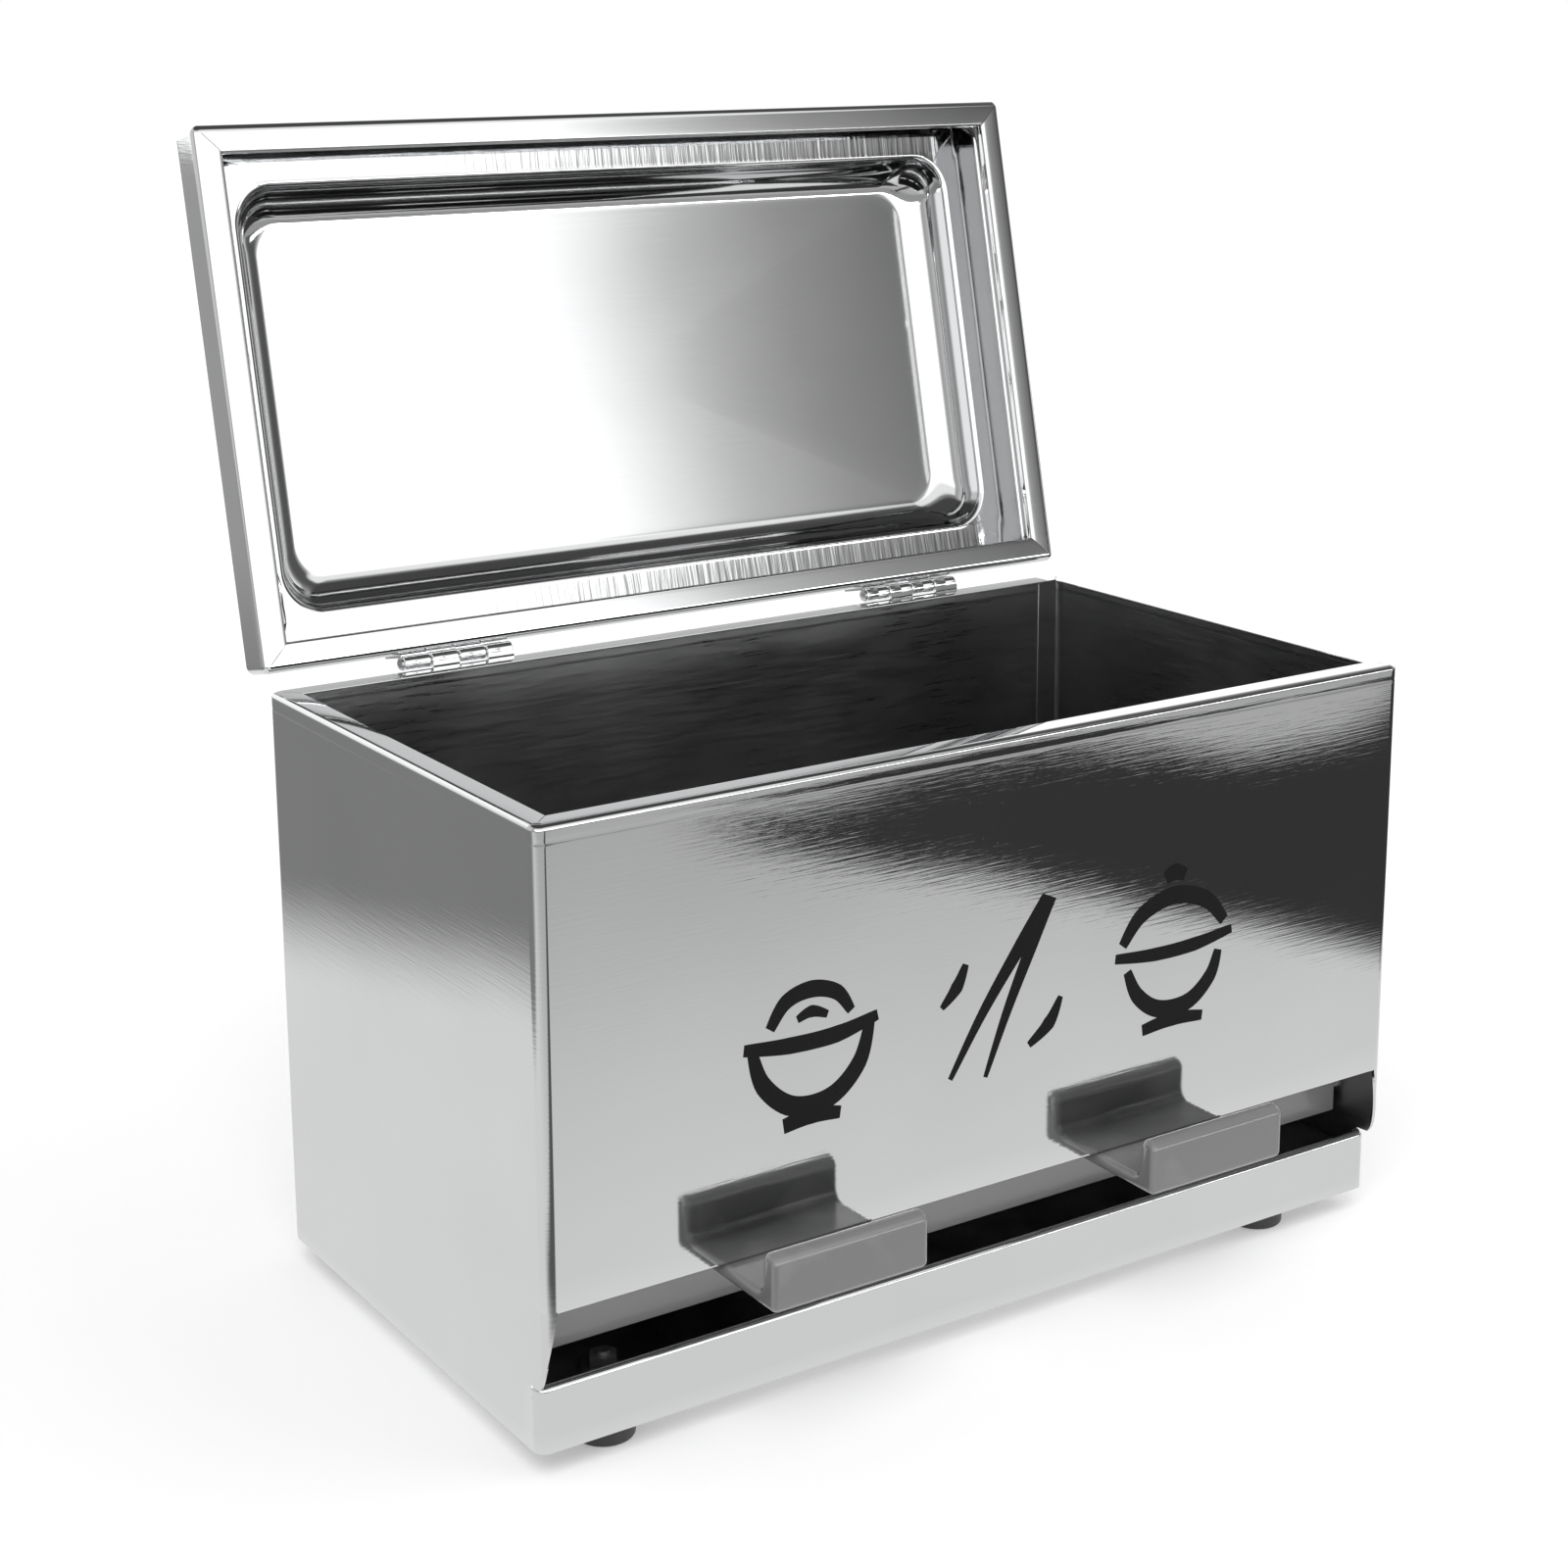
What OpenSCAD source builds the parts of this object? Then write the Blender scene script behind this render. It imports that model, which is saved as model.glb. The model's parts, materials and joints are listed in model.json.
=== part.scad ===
// Chopstick holder with a flip lid: a folded stainless box on rubber feet, a press lever with two
// hooks in its mouth, and a pressed lid on two butt hinges, drawn open as it stands at rest.
// Lengths are millimetres, angles are degrees, +Z is up and -Y is the front.

/* [Body] */
// Width of the box over its side walls
body_w = 290; // [270:1:330]
// Depth of the box from the front panel to the back wall
body_d = 160; // [145:1:190]
// Height of the sheet body, without the feet
body_h = 168; // [155:1:210]
// Thickness of the stainless sheet
sheet_t = 0.8; // [0.6:0.1:1]
// Outer radius of the upright bends
corner_r = 2.5; // [2:0.5:5]
// Width of the rim that is turned inward at the top
rim_w = 7.5; // [6:0.5:12]
// Height of the hem that is folded back behind the top and bottom edges
hem_h = 4.5; // [3:0.5:6]
// How far the sheet's lapped end reaches past the back right corner
lap_w = 9; // [6:0.5:15]

/* [Mouth] */
// Height of the front rail under the mouth
rail_h = 18.5; // [16:0.5:22]
// How far the rail stands behind the front panel
rail_set_back = 5.3; // [4:0.1:8]
// Clear height of the mouth between the rail and the front panel
mouth_h = 22; // [20:0.5:26]

/* [Base and feet] */
// Height of the base pan's plate above the body's bottom edge
pan_rise = 11; // [9:0.5:13]
// Gap between the base pan and the walls around it
pan_gap = 0.1; // [0.05:0.05:0.3]
// Diameter of a rubber foot
foot_d = 17; // [12:0.5:22]
// Height of a foot below the body
foot_show = 7; // [5:0.5:12]
// Distance of a foot's axis from the side wall
foot_from_side = 30; // [18:1:50]
// Distance of a foot's axis from the front panel or the back wall
foot_from_front = 18; // [16:1:30]
// How far the set of feet stands to the right of the box's middle
foot_shift = -4; // [-8:0.5:8]
// Diameter of the foot screws
screw_d = 4; // [3:0.5:5]
// Diameter of the foot screw's head
screw_head_d = 7.6; // [6:0.2:9]
// Height of the foot screw's head
screw_head_h = 2.6; // [2:0.2:4]
// How far the head is sunk into the rubber above the foot's sole
screw_recess = 3; // [1:0.5:5]
// Diameter of the washer on the base pan
washer_d = 12; // [9:0.5:14]
// Thickness of the washer
washer_t = 1; // [0.8:0.1:1.5]
// Width of the foot nut across its flats
nut_af = 7; // [6:0.5:8]
// Height of the foot nut
nut_h = 3.2; // [2.4:0.2:4]

/* [Hopper] */
// Height of the hopper floor's back edge above the body's bottom edge
hopper_back_z = 95; // [85:1:105]
// Height of the hopper floor's front edge above the body's bottom edge
hopper_front_z = 43; // [42.5:0.5:44]
// Height of the flange that holds the hopper floor to the back wall
hopper_flange_h = 12; // [8:1:20]
// Height of the lip that stiffens the hopper floor's front edge
hopper_lip_h = 7; // [5:0.5:9]
// Depth of the flanges that hold the hopper floor to the side walls
hopper_side_flange = 9; // [6:0.5:14]

/* [Press lever] */
// Width of one hook
hook_w = 48.5; // [35:0.5:60]
// Distance between the middles of the two hooks
hook_pitch = 125; // [110:1:150]
// Place of the hook pair's middle, measured from the middle of the box
hook_offset = -6; // [-12:1:12]
// How far a hook stands out in front of the panel
hook_reach = 24; // [20:0.5:30]
// Height of a hook's lip above its tray
hook_lip_h = 12; // [9:0.5:16]
// Thickness of a hook's lip
hook_lip_t = 6; // [5:0.2:7]
// Thickness of a hook's tray
hook_tray_t = 3.8; // [3:0.1:5]
// Radius in the inner corner of a hook
hook_fillet_r = 3; // [1:0.5:4]
// Distance from the front panel's face to the lever's fascia
fascia_depth = 17; // [15:0.5:19]
// Thickness of the fascia
fascia_t = 2.2; // [1.6:0.1:3]
// Height of the fascia's lower edge above the body's bottom edge
fascia_low = 22; // [20:0.5:25]
// Gap between an end of the fascia and the side wall
fascia_end_gap = 2.2; // [1.5:0.1:4]
// Diameter of the lever's shaft
shaft_d = 4; // [3:0.5:5]
// Diameter of the tube that turns on the shaft
boss_d = 9; // [8:0.5:10]
// Distance from the fascia's face to the shaft's axis
shaft_behind_fascia = 6; // [5.5:0.1:7]
// Radial running gap between the lever and its shaft
shaft_gap = 0.05; // [0.03:0.01:0.08]
// Gap under the front panel where the hooks' trays pass
tray_gap = 0.3; // [0.3:0.1:0.8]

/* [Lever bearings] */
// Thickness of a shaft bracket
bracket_t = 1.5; // [1:0.1:1.5]
// Width of a shaft bracket
bracket_w = 13; // [11:0.5:16]
// Outer diameter of a shaft clip
clip_d = 7; // [6:0.5:7]
// Thickness of a shaft clip
clip_t = 0.8; // [0.6:0.1:1.2]
// Wire diameter of a return spring
spring_wire_d = 0.9; // [0.7:0.1:1]
// Number of turns in a return spring
spring_turns = 5; // [3:1:6]

/* [Hinges] */
// Length of a hinge
hinge_l = 36; // [28:1:50]
// Distance from a side wall to the middle of its hinge
hinge_from_side = 61.5; // [45:0.5:75]
// Outer diameter of the hinge knuckles
knuckle_d = 4.6; // [4:0.1:6]
// Diameter of the hinge pin
hinge_pin_d = 2.6; // [2:0.1:3]
// Gap between one knuckle and the next
knuckle_gap = 0.5; // [0.3:0.1:1]
// Thickness of a hinge leaf
leaf_t = 0.9; // [0.7:0.1:1.2]
// Height of a hinge leaf beyond the knuckles
leaf_h = 11; // [8:0.5:13]
// Height of the hinge axis above the body's rim
hinge_rise = 1.5; // [1:0.1:2.5]
// Radial running gap on the hinge pin
pin_gap = 0.04; // [0.03:0.01:0.08]

/* [Lid] */
// How far the lid's front edge stands behind the front panel's face
lid_set_back = 1.5; // [0:0.5:4]
// Height of the lid's skirt
lid_skirt_h = 16; // [14:0.5:22]
// Width of the flange that is turned inward under the skirt
lid_flange_w = 8.5; // [6:0.5:12]
// Height of the lip that is turned up from the flange's inner edge
lid_lip_h = 2.5; // [1.5:0.5:4]
// Distance from the skirt to the pressed step, on all four sides
lid_border = 16; // [12:0.5:20]
// Height of the lid's pressed middle above its border
lid_emboss_h = 14; // [8:0.5:16]
// Corner radius of the pressed step
lid_step_r = 13; // [12:1:20]
// Width of the sloping band between the step and the flat middle
lid_cove_w = 11; // [6:0.5:12]
// Gap between the closed lid and the rim
lid_gap = 0.4; // [0.3:0.1:1]
// Angle of the open lid from its closed place
lid_open_angle = 102.5; // [95:0.5:110]

/* [Hidden] */

// Smoothness of every round surface
$fn = 48;
// A small overlap that lets one solid's parts join, and the length by which a cut passes right through
join = 0.02;
over = 1;
// Clearance between pieces that pass or face each other
clearance = 0.3;

steel = [0.78, 0.79, 0.80];
bright = [0.86, 0.87, 0.88];
smoke = [0.42, 0.42, 0.43];
rubber = [0.16, 0.16, 0.17];
wire = [0.62, 0.63, 0.65];

// Main planes of the body, and the smallest radius of an inner bend
least_r = 0.4;
bottom_z = foot_show;
rim_z = bottom_z + body_h;
front_y = -body_d / 2;
back_y = body_d / 2;
side_x = body_w / 2;
inner_x = side_x - sheet_t;
inner_back_y = back_y - sheet_t;

// Mouth and rail
rail_y = front_y + rail_set_back;
rail_top_z = bottom_z + rail_h;
panel_low_z = rail_top_z + mouth_h;

// Base pan and feet
pan_z = bottom_z + pan_rise;
pan_top_z = pan_z + sheet_t;
foot_x = side_x - foot_from_side;
foot_y = body_d / 2 - foot_from_front;
foot_places = [for (y = [-foot_y, foot_y], x = [-foot_x, foot_x]) [x + foot_shift, y]];
washer_z = pan_top_z;
nut_z = washer_z + washer_t;
screw_low_z = screw_recess;
screw_tip = 1;
screw_top_z = nut_z + nut_h + screw_tip;
screw_hole_gap = 0.2;
thread_gap = 0.05;
slot_w = 0.8;
slot_depth = 1.2;
slot_share = 0.6;

// Press lever and its bearings
tray_top_z = panel_low_z - tray_gap;
tray_low_z = tray_top_z - hook_tray_t;
hook_front_y = front_y - hook_reach;
fascia_y = front_y + fascia_depth;
fascia_low_z = bottom_z + fascia_low;
fascia_x = inner_x - fascia_end_gap;
shaft_y = fascia_y + shaft_behind_fascia;
boss_below_tray = 0.2;
shaft_z = tray_top_z - boss_d / 2 - boss_below_tray;
bracket_in_x = inner_x - bracket_t;
shaft_x = inner_x - clearance;
clip_play = 0.1;
clip_mouth_share = 0.6;
clip_in_x = bracket_in_x - clip_play - clip_t;
coil_play = 0.4;
coil_pitch_share = 0.9;
coil_r = shaft_d / 2 + coil_play + spring_wire_d / 2;
coil_pitch = spring_wire_d * coil_pitch_share;
coil_l = (spring_turns - 1) * coil_pitch + spring_wire_d;
boss_end_x = clip_in_x - coil_l - 2 * coil_play;
coil_out_x = clip_in_x - coil_play;
leg_share = 0.98;
leg_end = 3;
hook_x = [hook_offset - hook_pitch / 2, hook_offset + hook_pitch / 2];
hook_bevel = 1;

// Hopper floor
boss_room = 1;
hopper_front_y = shaft_y + boss_d / 2 + boss_room;
hopper_front_top_z = bottom_z + hopper_front_z;
hopper_back_top_z = bottom_z + hopper_back_z;
hopper_half_w = inner_x - pan_gap;
bracket_back_y = hopper_front_y - clearance;
bracket_front_cut = 1.5;
peg_d = 1.6;
peg_from_edge = 1.2;
peg_from_low = 2;
peg_tip = 1;
peg_y = bracket_back_y - peg_from_edge;

// Hinges
axis_y = back_y + clearance + knuckle_d / 2;
axis_z = rim_z + hinge_rise;
knuckles = 4;
knuckle_clear = 0.4;
pin_head_h = 0.8;
pin_head_play = 0.2;
pin_tip = 0.3;
knuckle_l = (hinge_l - (knuckles - 1) * knuckle_gap) / knuckles;

// Lid, first laid down closed and then turned open about the hinge axis
lid_low_z = rim_z + lid_gap;
lid_top_z = lid_low_z + lid_skirt_h;
lid_front_y = front_y + lid_set_back;
lid_d = back_y - lid_front_y;
lid_mid_y = (back_y + lid_front_y) / 2;
lid_corner_r = corner_r;
step_w = body_w - 2 * lid_border;
step_d = lid_d - 2 * lid_border;
emboss_z = lid_top_z + lid_emboss_h;

// The pressed band's two bends: the steep first part and the eased part after it
cove_steep_w = 1.2;
cove_steep_share = 0.45;
cove_eased_w_share = 0.45;
cove_eased_share = 0.82;

// The part's middle from front to back, so that the origin lies under the middle of its box
function open_y(y, z) = axis_y + (y - axis_y) * cos(lid_open_angle) + (z - axis_z) * sin(lid_open_angle);
back_reach = max(
    open_y(lid_front_y, lid_top_z),
    open_y(lid_front_y + lid_border + lid_cove_w, emboss_z)
);
mid_y = (hook_front_y + back_reach) / 2;

// A rectangle with round corners, made of true arcs
module round_rect(w, d, r) {
    square([w - 2 * r, d], center = true);
    square([w, d - 2 * r], center = true);
    for (x = [-1, 1], y = [-1, 1])
        translate([x * (w / 2 - r), y * (d / 2 - r)])
            circle(r);
}

// The outline of the box with its front wall moved back by step
module body_outline(inset, step) {
    r = max(corner_r - inset, least_r);
    translate([0, step / 2])
        round_rect(body_w - 2 * inset, body_d - step - 2 * inset, r);
}

// A ring of sheet that follows the walls
module wall_ring(low, high, step) {
    translate([0, 0, low])
        linear_extrude(high - low)
            difference() {
                body_outline(0, step);
                body_outline(sheet_t, step);
            }
}

// A shape drawn in the Y-Z plane and drawn out along X between two places
module along_x(x0, x1) {
    translate([x0, 0, 0])
        rotate([90, 0, 90])
            linear_extrude(x1 - x0)
                children();
}

// The mouth, with the side walls' front edges curving back from the panel to the rail
module mouth_cut() {
    rise = panel_low_z - rail_top_z;
    steps = 8;
    curve = [for (i = [0:steps])
        let (a = 90 * i / steps)
        [front_y + rail_set_back * (1 - cos(a)), panel_low_z - rise * sin(a)]];
    along_x(-side_x - over, side_x + over)
        polygon(concat(
            [[front_y - over, rail_top_z - over], [front_y - over, panel_low_z]],
            curve,
            [[rail_y, rail_top_z - over]]
        ));
    translate([-inner_x, front_y - over, rail_top_z])
        cube([2 * inner_x, over + corner_r, rise]);
}

// The box: front panel, side walls, back wall and rail, one sheet bent round, with rim and hems
module body_shell() {
    color(steel) {
        difference() {
            union() {
                wall_ring(rail_top_z, rim_z, 0);
                wall_ring(bottom_z, rail_top_z, rail_set_back);
            }
            mouth_cut();
        }
        translate([0, 0, rim_z - sheet_t])
            linear_extrude(sheet_t)
                difference() {
                    body_outline(sheet_t / 2, 0);
                    square([body_w - 2 * rim_w, body_d - 2 * rim_w], center = true);
                }
        rail_hem();
        back_lap();
    }
}

// The folded edges along the top of the rail
module rail_hem() {
    translate([-inner_x - join, rail_y + sheet_t - join, rail_top_z - hem_h])
        cube([2 * inner_x + 2 * join, sheet_t, hem_h]);
}

// The end of the sheet, lapped inside the back wall and joined to it
module back_lap() {
    low = pan_top_z + 1;
    translate([inner_x - lap_w, inner_back_y - sheet_t, low])
        cube([lap_w + join, sheet_t + join, rim_z - sheet_t - low + join]);
}

// The plate that closes the bottom, with its edges turned down to the body's bottom edge
module base_pan() {
    w = 2 * (inner_x - pan_gap);
    front = rail_y + 2 * sheet_t + pan_gap;
    back = inner_back_y - pan_gap;
    hollow_w = w - 2 * sheet_t;
    hollow_d = back - front - 2 * sheet_t;
    color(steel)
        difference() {
            translate([0, (front + back) / 2, bottom_z])
                difference() {
                    linear_extrude(pan_rise + sheet_t)
                        round_rect(w, back - front, corner_r - sheet_t);
                    translate([0, 0, -over])
                        linear_extrude(pan_rise + over)
                            round_rect(hollow_w, hollow_d, corner_r - sheet_t - least_r);
                }
            for (p = foot_places)
                translate([p.x, p.y, pan_z - over])
                    cylinder(h = sheet_t + 2 * over, d = screw_d + 2 * screw_hole_gap);
        }
}

// The sloping floor that lets the chopsticks roll down to the lever
module hopper_floor() {
    slope_y = inner_back_y - pan_gap - sheet_t;
    floor_line = [
        [hopper_front_y, hopper_front_top_z],
        [slope_y, hopper_back_top_z]
    ];
    color(bright)
        difference() {
            intersection() {
                hopper_sheet(floor_line, slope_y);
                linear_extrude(rim_z)
                    body_outline(sheet_t + pan_gap, 0);
            }
            translate([inner_x - lap_w - clearance, inner_back_y - sheet_t - clearance, rail_top_z])
                cube([lap_w + over, 2 * sheet_t + over, rim_z]);
        }
}

// The hopper floor before its back right corner is notched for the lapped end of the body's sheet
module hopper_sheet(floor_line, slope_y) {
    side_drop = hopper_side_flange;
    along_x(-hopper_half_w, hopper_half_w)
        polygon([
            floor_line[0],
            floor_line[1],
            [slope_y, hopper_back_top_z + hopper_flange_h],
            [slope_y + sheet_t, hopper_back_top_z + hopper_flange_h],
            [slope_y + sheet_t, hopper_back_top_z - sheet_t],
            floor_line[1] - [0, sheet_t],
            [hopper_front_y + sheet_t, hopper_front_top_z - sheet_t],
            [hopper_front_y + sheet_t, hopper_front_top_z - hopper_lip_h],
            [hopper_front_y, hopper_front_top_z - hopper_lip_h]
        ]);
    for (s = [-1, 1])
        along_x(s * hopper_half_w - (s > 0 ? sheet_t : 0), s * hopper_half_w + (s < 0 ? sheet_t : 0))
            polygon([
                floor_line[0] + [bracket_w, bracket_w * hopper_rise() - sheet_t / 2],
                floor_line[1] + [0, -sheet_t / 2],
                floor_line[1] + [0, -side_drop],
                floor_line[0] + [bracket_w, bracket_w * hopper_rise() - side_drop]
            ]);
}

// Rise of the hopper floor for each millimetre of depth
function hopper_rise() =
    (hopper_back_z - hopper_front_z) / (inner_back_y - pan_gap - sheet_t - hopper_front_y);

// One hook's outline: tray, lip with a round top, and the fillet between them
module hook_profile() {
    lip_r = hook_lip_t / 2;
    lip_in_y = hook_front_y + hook_lip_t;
    difference() {
        union() {
            translate([hook_front_y, tray_low_z])
                square([fascia_y + fascia_t / 2 - hook_front_y, hook_tray_t]);
            translate([hook_front_y, tray_low_z])
                square([hook_lip_t, hook_tray_t + hook_lip_h - lip_r]);
            translate([hook_front_y + lip_r, tray_top_z + hook_lip_h - lip_r])
                circle(lip_r);
            translate([lip_in_y - join, tray_top_z - join])
                square([hook_fillet_r + join, hook_fillet_r + join]);
        }
        translate([lip_in_y + hook_fillet_r, tray_top_z + hook_fillet_r])
            circle(hook_fillet_r);
        polygon([
            [hook_front_y - over, tray_low_z - over],
            [hook_front_y - over, tray_low_z + hook_bevel],
            [hook_front_y, tray_low_z + hook_bevel],
            [hook_front_y + hook_bevel, tray_low_z],
            [hook_front_y + hook_bevel, tray_low_z - over]
        ]);
    }
}

// The lever's cross bar: fascia, cap and the tube that turns on the shaft
module bar_profile(with_tube) {
    translate([fascia_y, fascia_low_z])
        square([fascia_t, tray_top_z - fascia_low_z]);
    if (with_tube) {
        translate([fascia_y, shaft_z])
            square([shaft_behind_fascia, tray_top_z - shaft_z]);
        translate([shaft_y, shaft_z])
            circle(d = boss_d);
    }
}

// The moulded lever: a cross bar behind the mouth and two hooks that reach out under the panel
module press_lever() {
    color(smoke)
        difference() {
            union() {
                along_x(-fascia_x, fascia_x)
                    bar_profile(false);
                along_x(-boss_end_x, boss_end_x)
                    bar_profile(true);
                for (x = hook_x)
                    along_x(x - hook_w / 2, x + hook_w / 2)
                        hook_profile();
            }
            translate([-side_x, shaft_y, shaft_z])
                rotate([0, 90, 0])
                    cylinder(h = body_w, r = shaft_d / 2 + shaft_gap);
        }
}

// The rod on which the lever turns
module lever_shaft() {
    color(bright)
        translate([-shaft_x, shaft_y, shaft_z])
            rotate([0, 90, 0])
                cylinder(h = 2 * shaft_x, d = shaft_d);
}

// A plate on the side wall that carries one end of the shaft, with a peg for the spring
module shaft_bracket(side) {
    low = shaft_z - bracket_w / 2;
    front = shaft_y - bracket_w / 2 + bracket_front_cut;
    color(steel) {
        difference() {
            translate([min(side * bracket_in_x, side * inner_x), front, low])
                cube([bracket_t, bracket_back_y - front, bracket_w]);
            translate([-side_x, shaft_y, shaft_z])
                rotate([0, 90, 0])
                    cylinder(h = body_w, r = shaft_d / 2 + shaft_gap);
        }
        translate([side * (bracket_in_x + join), peg_y, low + peg_from_low])
            rotate([0, -90 * side, 0])
                cylinder(h = coil_l + clip_t + peg_tip, d = peg_d);
    }
}

// A spring clip that keeps the shaft from sliding
module shaft_clip(side) {
    color(wire)
        translate([side * clip_in_x + (side < 0 ? -clip_t : 0), shaft_y, shaft_z])
            rotate([0, 90, 0])
                difference() {
                    cylinder(h = clip_t, d = clip_d);
                    translate([0, 0, -over])
                        cylinder(h = clip_t + 2 * over, r = shaft_d / 2 + shaft_gap);
                    translate([-shaft_d * clip_mouth_share / 2, 0, -over])
                        cube([shaft_d * clip_mouth_share, clip_d, clip_t + 2 * over]);
                }
}

// A close-wound spring round the shaft: one leg lies behind the fascia, one on the bracket's peg
module return_spring(side) {
    leg_r = spring_wire_d / 2;
    fixed_leg_l = peg_y - shaft_y;
    moving_leg_l = shaft_z - fascia_low_z - leg_end;
    outer_turn_x = coil_out_x - leg_r;
    inner_turn_x = outer_turn_x - (spring_turns - 1) * coil_pitch;
    color(wire)
        mirror([side < 0 ? 1 : 0, 0, 0])
            translate([0, shaft_y, shaft_z]) {
                translate([outer_turn_x, 0, 0])
                    rotate([0, -90, 0])
                        rotate_extrude()
                            for (i = [0:spring_turns - 1])
                                translate([coil_r, i * coil_pitch])
                                    circle(leg_r);
                translate([outer_turn_x, 0, -coil_r])
                    rotate([-90, 0, 0])
                        cylinder(h = fixed_leg_l, r = leg_r * leg_share);
                translate([inner_turn_x, -coil_r, 0])
                    rotate([180, 0, 0])
                        cylinder(h = moving_leg_l, r = leg_r * leg_share);
            }
}

// The hinge's place along X
function hinge_x(side) = side * (side_x - hinge_from_side) - hinge_l / 2;

// The knuckles that belong to one leaf: the lid has the first and third, the body the others
module knuckle_row(side, first) {
    for (i = [first:2:knuckles - 1])
        translate([hinge_x(side) + i * (knuckle_l + knuckle_gap), axis_y, axis_z])
            rotate([0, 90, 0])
                cylinder(h = knuckle_l, d = knuckle_d);
}

// A leaf flat against the back, cut free round the other leaf's knuckles
module hinge_leaf(side, first, up) {
    other = 1 - first;
    clear_r = knuckle_d / 2 + knuckle_clear;
    difference() {
        union() {
            translate([hinge_x(side), back_y, up ? axis_z : axis_z - hinge_rise - leaf_h])
                cube([hinge_l, leaf_t, hinge_rise + leaf_h]);
            knuckle_row(side, first);
        }
        for (i = [other:2:knuckles - 1])
            translate([hinge_x(side) + i * (knuckle_l + knuckle_gap) - knuckle_gap, axis_y, axis_z])
                rotate([0, 90, 0])
                    cylinder(h = knuckle_l + 2 * knuckle_gap, r = clear_r);
        translate([hinge_x(side) - over, axis_y, axis_z])
            rotate([0, 90, 0])
                cylinder(h = hinge_l + 2 * over, r = hinge_pin_d / 2 + (up ? pin_gap : 0));
    }
}

// The leaf welded to the back wall
module hinge_body_leaf(side) {
    color(bright)
        hinge_leaf(side, 1, false);
}

// The leaf welded to the lid's back skirt, turned open with the lid
module hinge_lid_leaf(side) {
    color(bright)
        opened()
            hinge_leaf(side, 0, true);
}

// The pin through the knuckles, with a low head at its left end
module hinge_pin(side) {
    color(wire)
        translate([hinge_x(side) - pin_head_play, axis_y, axis_z])
            rotate([0, 90, 0]) {
                cylinder(h = hinge_l + pin_head_play + pin_tip, d = hinge_pin_d);
                translate([0, 0, -pin_head_h])
                    cylinder(h = pin_head_h, d = (knuckle_d + hinge_pin_d) / 2);
            }
}

// Turns what is drawn on the closed lid to its open place
module opened() {
    translate([0, axis_y, axis_z])
        rotate([-lid_open_angle, 0, 0])
            translate([0, -axis_y, -axis_z])
                children();
}

// A profile drawn along the four sides and round the corners of a rectangle
module round_sweep(w, d, r) {
    for (sx = [0, 1], sy = [0, 1])
        mirror([sx, 0, 0])
            mirror([0, sy, 0])
                translate([w / 2 - r, d / 2 - r, 0])
                    rotate_extrude(angle = 90)
                        translate([r, 0])
                            children();
    for (s = [0, 1]) {
        mirror([s, 0, 0])
            translate([w / 2, d / 2 - r, 0])
                rotate([90, 0, 0])
                    linear_extrude(d - 2 * r)
                        children();
        mirror([0, s, 0])
            translate([w / 2 - r, d / 2, 0])
                rotate([90, 0, -90])
                    linear_extrude(w - 2 * r)
                        mirror([1, 0])
                            children();
    }
}

// The sloping band of the pressing, from the step's foot at x = 0 to the flat middle
module cove_profile() {
    steep = [-cove_steep_w, lid_emboss_h * cove_steep_share];
    eased = [-lid_cove_w * cove_eased_w_share, lid_emboss_h * cove_eased_share];
    polygon([
        [0, -sheet_t],
        [0, 0],
        steep,
        eased,
        [-lid_cove_w, lid_emboss_h],
        [-lid_cove_w, lid_emboss_h - sheet_t],
        eased - [sheet_t / 2, sheet_t],
        steep - [sheet_t, 0],
        [-sheet_t, 0],
        [-sheet_t, -sheet_t]
    ]);
}

// The closed lid: skirt, turned-in flange with its lip, border plate and pressed middle
module lid_closed() {
    inner_w = body_w - 2 * sheet_t;
    inner_d = lid_d - 2 * sheet_t;
    mouth_w = body_w - 2 * lid_flange_w;
    mouth_d = lid_d - 2 * lid_flange_w;
    translate([0, lid_mid_y, lid_low_z]) {
        linear_extrude(lid_skirt_h)
            difference() {
                round_rect(body_w, lid_d, lid_corner_r);
                round_rect(inner_w, inner_d, lid_corner_r - sheet_t);
            }
        linear_extrude(sheet_t)
            difference() {
                round_rect(body_w - sheet_t, lid_d - sheet_t, lid_corner_r - sheet_t / 2);
                square([mouth_w, mouth_d], center = true);
            }
        linear_extrude(lid_lip_h)
            difference() {
                square([mouth_w + 2 * sheet_t, mouth_d + 2 * sheet_t], center = true);
                square([mouth_w, mouth_d], center = true);
            }
        translate([0, 0, lid_skirt_h - sheet_t])
            linear_extrude(sheet_t)
                difference() {
                    round_rect(body_w - sheet_t, lid_d - sheet_t, lid_corner_r - sheet_t / 2);
                    round_rect(step_w, step_d, lid_step_r);
                }
        translate([0, 0, lid_skirt_h])
            round_sweep(step_w, step_d, lid_step_r)
                cove_profile();
        translate([0, 0, lid_skirt_h + lid_emboss_h - sheet_t])
            linear_extrude(sheet_t)
                round_rect(
                    step_w - 2 * lid_cove_w,
                    step_d - 2 * lid_cove_w,
                    lid_step_r - lid_cove_w
                );
    }
}

// The lid, standing open
module lid_pan() {
    color(steel)
        opened()
            lid_closed();
}

// A rubber foot that reaches from the base pan to the table, with a hole for its screw
module foot(p) {
    bevel = 0.8;
    color(rubber)
        translate([p.x, p.y, 0])
            difference() {
                rotate_extrude()
                    polygon([
                        [0, 0],
                        [foot_d / 2 - bevel, 0],
                        [foot_d / 2, bevel],
                        [foot_d / 2, pan_z],
                        [0, pan_z]
                    ]);
                translate([0, 0, -over])
                    cylinder(h = pan_z + 2 * over, d = screw_d + 2 * screw_hole_gap);
                translate([0, 0, -over])
                    cylinder(h = screw_low_z + screw_head_h + over, d = screw_head_d + 2 * screw_hole_gap);
            }
}

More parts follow.
